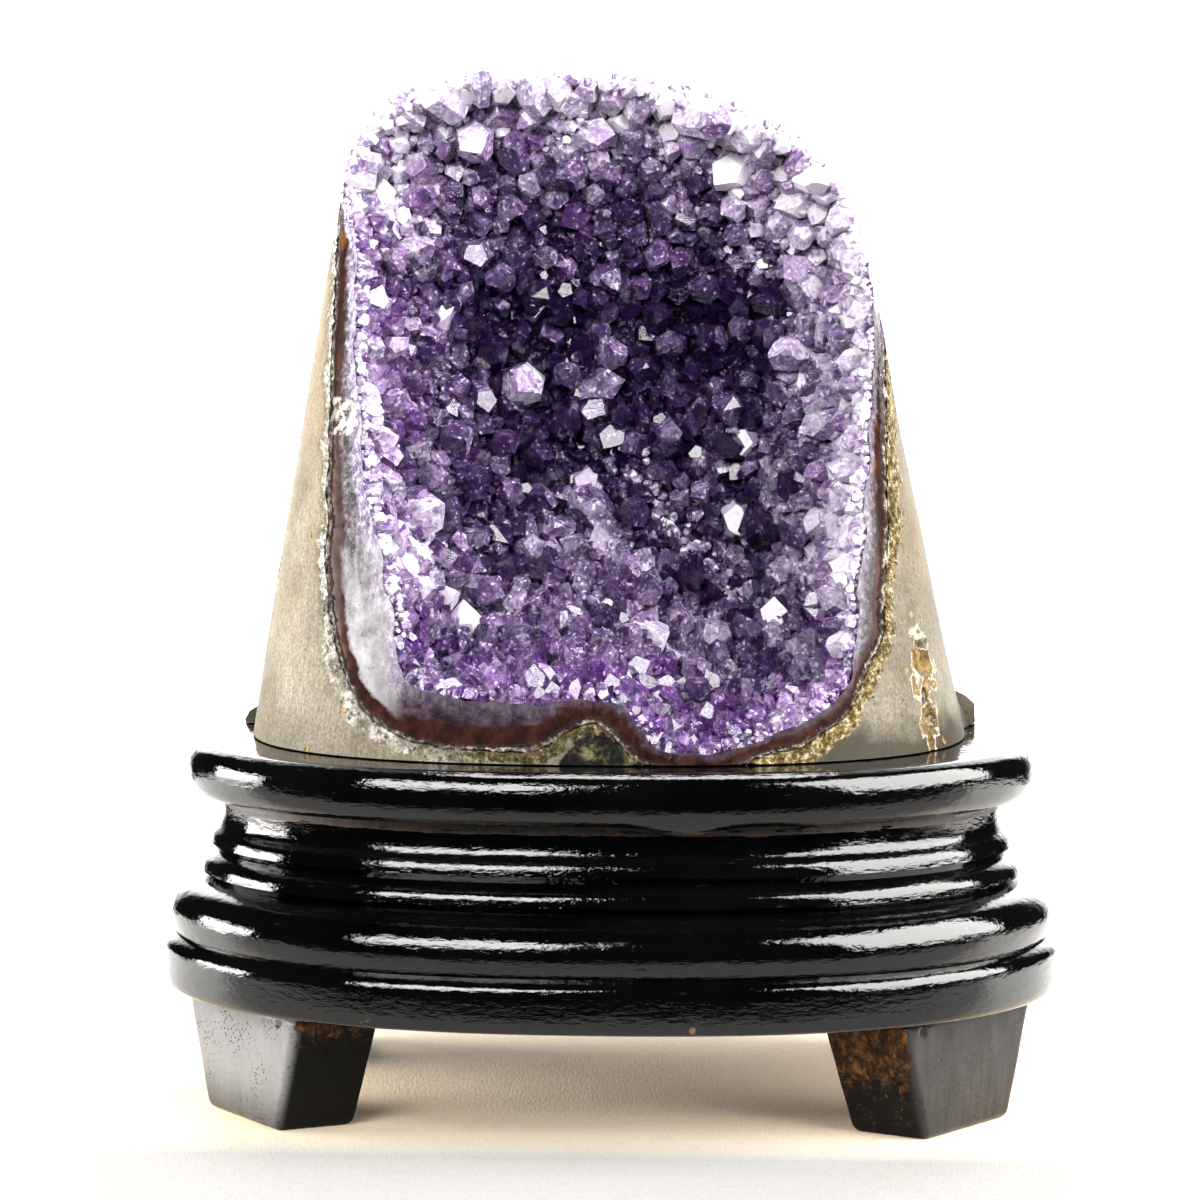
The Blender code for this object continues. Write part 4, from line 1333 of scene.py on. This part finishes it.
def lining_finish():
    """Polished lip from the outside in: rough pale edge, brown jasper, grey agate, whitish quartz columns;
    the wall behind the crystals darkens with painted shade deeper in.
    """
    f = Finish("agate_lip", Roughness=0.10, IOR=1.40, Specular_IOR_Level=0.10)
    x, z = f.axis("X"), f.axis("Z")
    edge = f.attribute("edge_mm")
    place = edge + f.stray(0.9, 130.0, 5.0, 0.65)
    right = f.spread(x, 0.0, 0.02)
    bottom = f.spread(z, 0.106, 0.095) * f.spread(x, -0.050, -0.040)
    ragged_z = z + f.stray(0.009, 1.0, 5.0, 0.7, stretch=(500.0, 200.0, 90.0))
    pale_patch_and_painted_sheen = f.spread(ragged_z, 0.130, 0.116) * f.spread(x, -0.042, -0.050)

    grain = f.noise(1.0, 5.0, 0.7, stretch=(260.0, 260.0, 150.0))
    jasper = f.ramp(grain, (0.34, (0.007, 0.004, 0.004)), (0.47, (0.020, 0.008, 0.006)),
                    (0.57, (0.036, 0.0125, 0.0085)), (0.67, (0.038, 0.017, 0.011)),
                    (0.76, (0.085, 0.031, 0.010)))
    orange = f.spread(f.noise(55.0, 2.0), 0.56, 0.64) * f.spread(z, 0.102, 0.106)
    jasper = f.mix(orange * 0.7, jasper, (0.16, 0.062, 0.014))
    agate = f.ramp(f.noise(750.0, 6.0, 0.8), (0.38, (0.020, 0.015, 0.016)), (0.46, (0.060, 0.050, 0.054)),
                   (0.54, (0.105, 0.092, 0.102)), (0.62, (0.24, 0.23, 0.25)))
    # Darker towards near black: a quarter on the left, as painted shade against the strong light there, and
    # over half on the right.
    agate = f.mix(f.spread(right, 0.0, 1.0, 0.25, 0.55), agate, (0.020, 0.015, 0.016))
    low_grain = f.noise(1.0, 5.0, 0.7, stretch=(260.0, 260.0, 420.0))
    low_agate = f.ramp(low_grain, (0.36, (0.014, 0.008, 0.012)), (0.48, (0.029, 0.019, 0.027)),
                       (0.60, (0.050, 0.036, 0.048)), (0.72, (0.11, 0.09, 0.11)))
    agate = f.mix(bottom, agate, low_agate)
    columns = f.noise(1.0, 6.0, 0.8, stretch=(900.0, 700.0, 500.0))
    quartz = f.ramp(columns, (0.37, (0.07, 0.040, 0.11)), (0.46, (0.17, 0.13, 0.21)),
                    (0.54, (0.30, 0.27, 0.33)), (0.64, (0.66, 0.64, 0.68)))
    chalcedony = f.ramp(f.noise(170.0, 6.0, 0.7), (0.34, (0.13, 0.115, 0.12)), (0.46, (0.25, 0.24, 0.25)),
                        (0.58, (0.33, 0.32, 0.335)), (0.72, (0.47, 0.46, 0.48)))
    dots = f.cells_below(620.0, 0.13) * f.spread(f.noise(120.0, 2.0), 0.45, 0.6)
    chalcedony = f.mix(dots, chalcedony, (0.06, 0.045, 0.04))

    left_width = f.spread(z, 0.150, 0.122, 3.2, 4.8)
    width = f.spread(right, 0.0, 1.0, left_width, 2.9) + bottom * 0.3
    colour = f.mix(f.spread(place - width, -0.3, 0.5), jasper, agate)
    inwards = f.attribute("band") + f.stray(0.20, 330.0, 5.0, 0.75)
    whitened = f.spread(inwards, 0.64, 0.84) * f.spread(bottom, 0.0, 1.0, 1.0, 0.10)
    colour = f.mix(whitened * f.spread(right, 0.0, 1.0, 1.0, 0.40), colour, quartz)
    # Partly painted reflection: a pale speckled chalcedony patch low on the left lip, where a soft reflection
    # falls.
    colour = f.mix(pale_patch_and_painted_sheen * f.spread(place, 3.4, 4.2), colour, chalcedony)
    low, high = WHITE_BREAK
    broken = f.spread(z, low, low + 0.0006) * f.spread(z, high + 0.0006, high) * f.spread(x, -0.050, -0.054)
    colour = f.mix(broken * f.spread(f.noise(420.0, 5.0, 0.75), 0.44, 0.54), colour, (0.42, 0.40, 0.38))
    ragged = edge + f.stray(0.7, 480.0, 5.0, 0.75)
    rim = f.ramp(f.noise(520.0, 6.0, 0.8), (0.38, (0.012, 0.010, 0.008)), (0.47, (0.060, 0.048, 0.036)),
                 (0.54, (0.16, 0.145, 0.120)), (0.64, (0.50, 0.49, 0.46)))
    colour = f.mix(f.spread(ragged, 1.0, 0.6), colour, rim)
    thin = f.spread(ragged, 0.9, 1.1) * f.spread(ragged, 1.5, 1.2) * f.spread(f.noise(170.0, 3.0), 0.46, 0.56)
    colour = f.mix(thin, colour, (0.014, 0.010, 0.009))
    # The wall behind the crystals: mottled purple near the crystal line, darkened to near black deeper in as
    # painted shade.
    fine = f.noise(900.0, 5.0, 0.75)
    shade = f.ramp(fine, (0.38, (0.030, 0.010, 0.070)), (0.50, (0.16, 0.085, 0.25)),
                   (0.62, (0.50, 0.44, 0.58)))
    painted_deep_shade = f.ramp(fine, (0.40, (0.008, 0.004, 0.020)), (0.60, (0.050, 0.028, 0.095)))
    f.set("Base Color", f.mix(f.attribute("wall"), colour, f.mix(f.attribute("deep"), shade, painted_deep_shade)))
    f.set("Roughness", f.spread(ragged, 1.4, 0.5, 0.20, 0.60))
    f.set("Subsurface Weight", 0.10)
    f.set("Subsurface Radius", (0.0015, 0.0010, 0.0018))
    polish = f.bump(f.noise(260.0, 3.0), 0.00010)
    f.set("Normal", f.bump(f.noise(800.0, 5.0, 0.7) * f.spread(ragged, 1.6, 0.3), 0.0009, polish))
    return f.material


def crystal_finish(name, lift, clear, density, absorbed, rosy, busy):
    """Clear to milky amethyst, with colour zones, veils and healed cracks that break it up inside, partly
    painted refraction with painted sparkle; each face adds painted shading, and the paleness painted shade
    deep in the hollow.
    """
    f = Finish(name, IOR=1.544, Roughness=0.04, Specular_IOR_Level=0.36)
    # Splinters of colour zoning that are partly painted refraction of neighbouring crystals; the rarest cells
    # are painted sparkle.
    fine, painted_sparkle = f.shards(1500.0, 0.0007)
    coarse, _ = f.shards(560.0, 0.0016)
    soft = f.spread(f.noise(300.0, 6.0, 0.75, 1.5), 0.3, 0.7)
    inside = fine * 0.13 + coarse * 0.14 + soft * 0.33 + f.maths("GREATER_THAN", painted_sparkle, 0.93) * 0.24
    # Each face's random tone is painted facet shading; the paleness brings painted shade deep in the hollow.
    tone = f.attribute("facet_painted_shade") * 0.25 + f.attribute("tint") * 0.15 + (inside * busy + 0.37 * (1.0 - busy))
    tone = tone + f.attribute("pale") * 0.42 + lift
    colour = f.ramp(tone, (0.14, (0.018, 0.008, 0.045)), (0.32, (0.070, 0.036, 0.145)),
                    (0.48, (0.17, 0.115, 0.28)), (0.64, (0.32, 0.255, 0.41)), (0.82, (0.57, 0.50, 0.66)),
                    (1.0, (0.86, 0.81, 0.91)))
    vivid = f.ramp(tone, (0.14, (0.045, 0.010, 0.12)), (0.46, (0.21, 0.075, 0.36)),
                   (0.70, (0.46, 0.27, 0.62)), (0.90, (0.78, 0.66, 0.86)), (1.0, (0.90, 0.85, 0.94)))
    f.set("Base Color", f.mix(f.spread(f.noise(190.0, 4.0, 0.6), 0.42, 0.58) * rosy, colour, vivid))
    f.set("Transmission Weight", f.spread(tone, 0.42, 0.98, clear, 0.22))
    lines = f.noise(1.0, 3.0, 0.6, stretch=(900.0, 900.0, 3200.0))
    f.set("Normal", f.bump(f.noise(700.0, 2.0), 0.00004, f.bump(lines, 0.00003)))
    medium = f.make("ShaderNodeVolumeAbsorption", "Volume", {"Color": (*absorbed, 1.0), "Density": density})
    output = next(node for node in f.tree.nodes if node.bl_idname == "ShaderNodeOutputMaterial")
    f.put(output.inputs["Volume"], medium)
    return f.material


def bare_wood(f):
    """Return the colour of reddish brown wood grain."""
    grain = f.noise(1.0, 6.0, 0.75, stretch=(500.0, 500.0, 260.0))
    return f.ramp(grain, (0.40, (0.010, 0.005, 0.002)), (0.50, (0.050, 0.023, 0.007)),
                  (0.60, (0.150, 0.066, 0.018)), (0.74, (0.38, 0.175, 0.055)))


def foot_finish():
    """Thin black lacquer on a foot: painted grey outside as painted reflection, speckled, and worn to bare
    wood within.
    """
    f = Finish("foot_lacquer", Roughness=0.07, IOR=1.24)
    outer = f.attribute("outer")
    ragged = f.attribute("bare") + f.spread(f.noise(420.0, 6.0, 0.8), 0.3, 0.7, -0.70, 0.30)
    bare = f.spread(ragged, 0.30, 0.60)
    dots = f.spread(outer, 0.0, 0.2) * f.cells_below(1150.0, 0.30) * f.spread(f.noise(140.0, 3.0), 0.42, 0.62)
    # Painted reflection: the outer faces are painted grey.
    black = f.mix(outer, (0.001, 0.001, 0.001), (0.15, 0.15, 0.15))
    black = f.mix(dots * 0.9, black, (0.001, 0.001, 0.001))
    worn = f.maths("MAXIMUM", bare * 0.65, dots * 0.55)
    rough = f.maths("MAXIMUM", f.spread(outer, 0.0, 0.08, 0.60, 0.28), worn)
    return lacquered(f, bare, black, bare_wood(f), rough)


def board_finish():
    """Thick rippled black lacquer on a board; bare wood in a strip under the nose and in chips."""
    f = Finish("board_lacquer", Roughness=0.07, IOR=1.56)
    z = f.axis("Z")
    low, high = BARE_STRIP
    inside = f.spread(z, low, low + 0.0005) * f.spread(z, high + 0.0005, high)
    uneven = f.noise(1.0, 4.0, 0.7, stretch=(120.0, 120.0, 900.0))
    ragged = inside + f.spread(uneven, 0.3, 0.7, -0.9, 0.3)
    chip = f.spread(z, 0.0300, 0.0284) * f.spread(f.noise(75.0, 3.0), 0.66, 0.70)
    wood = f.mix(chip, f.mix(0.75, bare_wood(f), (0.030, 0.021, 0.017)), (0.20, 0.105, 0.045))
    bare = f.spread(f.maths("MAXIMUM", ragged, chip), 0.20, 0.5)
    black = f.ramp(f.noise(40.0, 3.0), (0.3, (0.0004, 0.0004, 0.0005)), (0.7, (0.0014, 0.0014, 0.0016)))
    return lacquered(f, bare, black, wood, f.spread(bare, 0.0, 1.0, 0.035, 0.5))


def lacquered(f, bare, black, wood, roughness):
    """Finish a lacquer: bare wood where it is worn, and the swept, rippled surface of a brushed coat."""
    f.set("Base Color", f.mix(bare, black, wood))
    f.set("Roughness", roughness)
    swept = f.bump(f.noise(1.0, 2.0, 0.5, stretch=(110.0, 110.0, 420.0)), 0.00014)
    f.set("Normal", f.bump(f.noise(1.0, 3.0, 0.6, stretch=(420.0, 420.0, 1150.0)), 0.00010, swept))
    return f.material


def floor_finish():
    """Pale cloth, off-white, with a warm beige painted shadow under the stand and grey painted shade in front
    of it.
    """
    f = Finish("pale_cloth", Roughness=0.9)
    y, aside = f.axis("Y"), f.maths("ABSOLUTE", f.axis("X"))
    # Painted light: warm beige painted shadow under the stand, off-white behind and to the sides, and grey
    # painted shade in two steps in front.
    colour = f.ramp(f.noise(9.0, 3.0), (0.35, (0.99, 0.79, 0.55)), (0.65, (1.00, 0.83, 0.60)))
    for place, start, full, tint in (
            (y, 0.02, 0.20, (0.93, 0.92, 0.90)), (aside, 0.10, 0.16, (0.93, 0.92, 0.90)),
            (y, -0.030, -0.066, (0.30, 0.295, 0.285)), (y, -0.060, -0.130, (0.235, 0.233, 0.228))):
        colour = f.mix(f.spread(place, start, full), colour, tint)
    weave = f.noise(1.0, 2.0, stretch=(1900.0, 260.0, 1.0)) + f.noise(1.0, 2.0, stretch=(260.0, 1900.0, 1.0))
    shade = f.ramp(f.spread(weave, 0.7, 1.3), (0.0, (0.86, 0.86, 0.86)), (1.0, (1.0, 1.0, 1.0)))
    f.set("Base Color", f.mix(1.0, colour, shade, "MULTIPLY"))
    f.set("Normal", f.bump(weave, 0.00012))
    return f.material


# Floor, light and camera

def build_floor():
    side, near, far = FLOOR_EDGES
    points = [(-side, near, 0.0), (side, near, 0.0), (side, far, 0.0), (-side, far, 0.0)]
    floor = mesh_object("floor", points, [(0, 1, 2, 3)])
    floor.data.materials.append(floor_finish())


def build_world():
    """Light the room: a white wall behind the object, dark elsewhere, and white where the camera sees it."""
    world = bpy.data.worlds.new("studio")
    bpy.context.scene.world = world
    world.use_nodes = True
    nodes = Nodes(world.node_tree)
    way = nodes.make("ShaderNodeTexCoord", "Generated")
    back, rise = (nodes.make("ShaderNodeSeparateXYZ", name, {0: way}) for name in ("Y", "Z"))
    flat = nodes.maths("SQRT", nodes.maths("MAXIMUM", nodes.maths("SUBTRACT", 1.0, rise * rise), 0.001))
    behind = nodes.spread(nodes.maths("DIVIDE", back, flat), *WORLD_BEHIND, interpolation_type="SMOOTHSTEP")
    room = behind * nodes.spread(rise, *WORLD_HEIGHT, interpolation_type="SMOOTHSTEP")
    camera_ray = nodes.make("ShaderNodeLightPath", "Is Camera Ray")
    background = world.node_tree.nodes["Background"]
    nodes.put(background.inputs["Strength"], nodes.maths("MAXIMUM", room, camera_ray))
    nodes.put(background.inputs["Color"], (1.0, 1.0, 1.0, 1.0))


def softbox(lamp):
    """Hang one soft light."""
    name, _, _, distance, width, height, radiance, mirrored = lamp
    data = bpy.data.lights.new(name, "AREA")
    data.shape = "RECTANGLE"
    data.size, data.size_y = width, height
    data.energy = radiance * math.pi * width * height
    data.color = SOFTBOX_COLOUR
    light = bpy.data.objects.new(name, data)
    way = lamp_way(lamp)
    light.location = Vector(LIGHT_TARGET) + way * distance
    light.rotation_euler = (-way).to_track_quat("-Z", "Y").to_euler()
    light.visible_camera = False
    light.visible_glossy = mirrored
    bpy.context.scene.collection.objects.link(light)


def lamp_way(lamp):
    """Return the direction towards a softbox."""
    turn, rise = math.radians(lamp[1]), math.radians(lamp[2])
    return Vector((math.cos(rise) * math.sin(turn), -math.cos(rise) * math.cos(turn), math.sin(rise)))


def build_camera():
    data = bpy.data.cameras.new("camera")
    data.lens = LENS
    data.sensor_width = SENSOR
    data.clip_start = 0.01
    camera = bpy.data.objects.new("camera", data)
    camera.location = camera_place()
    camera.rotation_euler = (0.5 * math.pi - CAMERA_PITCH, 0.0, CAMERA_YAW)
    bpy.context.scene.collection.objects.link(camera)
    bpy.context.scene.camera = camera


def main():
    scene = bpy.context.scene
    build_camera()
    build_floor()
    build_world()
    for lamp in SOFTBOXES:
        softbox(lamp)
    scene.view_settings.view_transform = "Standard"
    scene.cycles.max_bounces = 9
    scene.cycles.transmission_bounces = 7
    scene.cycles.glossy_bounces = 4
    scene.cycles.diffuse_bounces = 2
    scene.cycles.sample_clamp_indirect = 6.0
    scene.cycles.caustics_refractive = False
    scene.cycles.caustics_reflective = False

    board = board_finish()
    moulded_board("moulding_board_lacquered", LOWER_MOULDING, "lower_moulding_board", board)
    moulded_board("tray_board_lacquered", TRAY_NOSE, "upper_tray_board", board)
    foot_lacquer = foot_finish()
    for side, side_name in ((-1, "left"), (1, "right")):
        for end, end_name in ((1, "front"), (-1, "back")):
            foot(side, end, f"foot_{end_name}_{side_name}", foot_lacquer)

    outer, inner = lining_line(), crystal_line()
    build_stone(basalt_finish(), outer)
    build_lining(lining_finish(), outer, inner)
    bed = grow_crystals(inner)
    for zone, *finish in CRYSTAL_FINISHES:
        bed.build(zone, crystal_finish("amethyst_" + zone, *finish))


main()
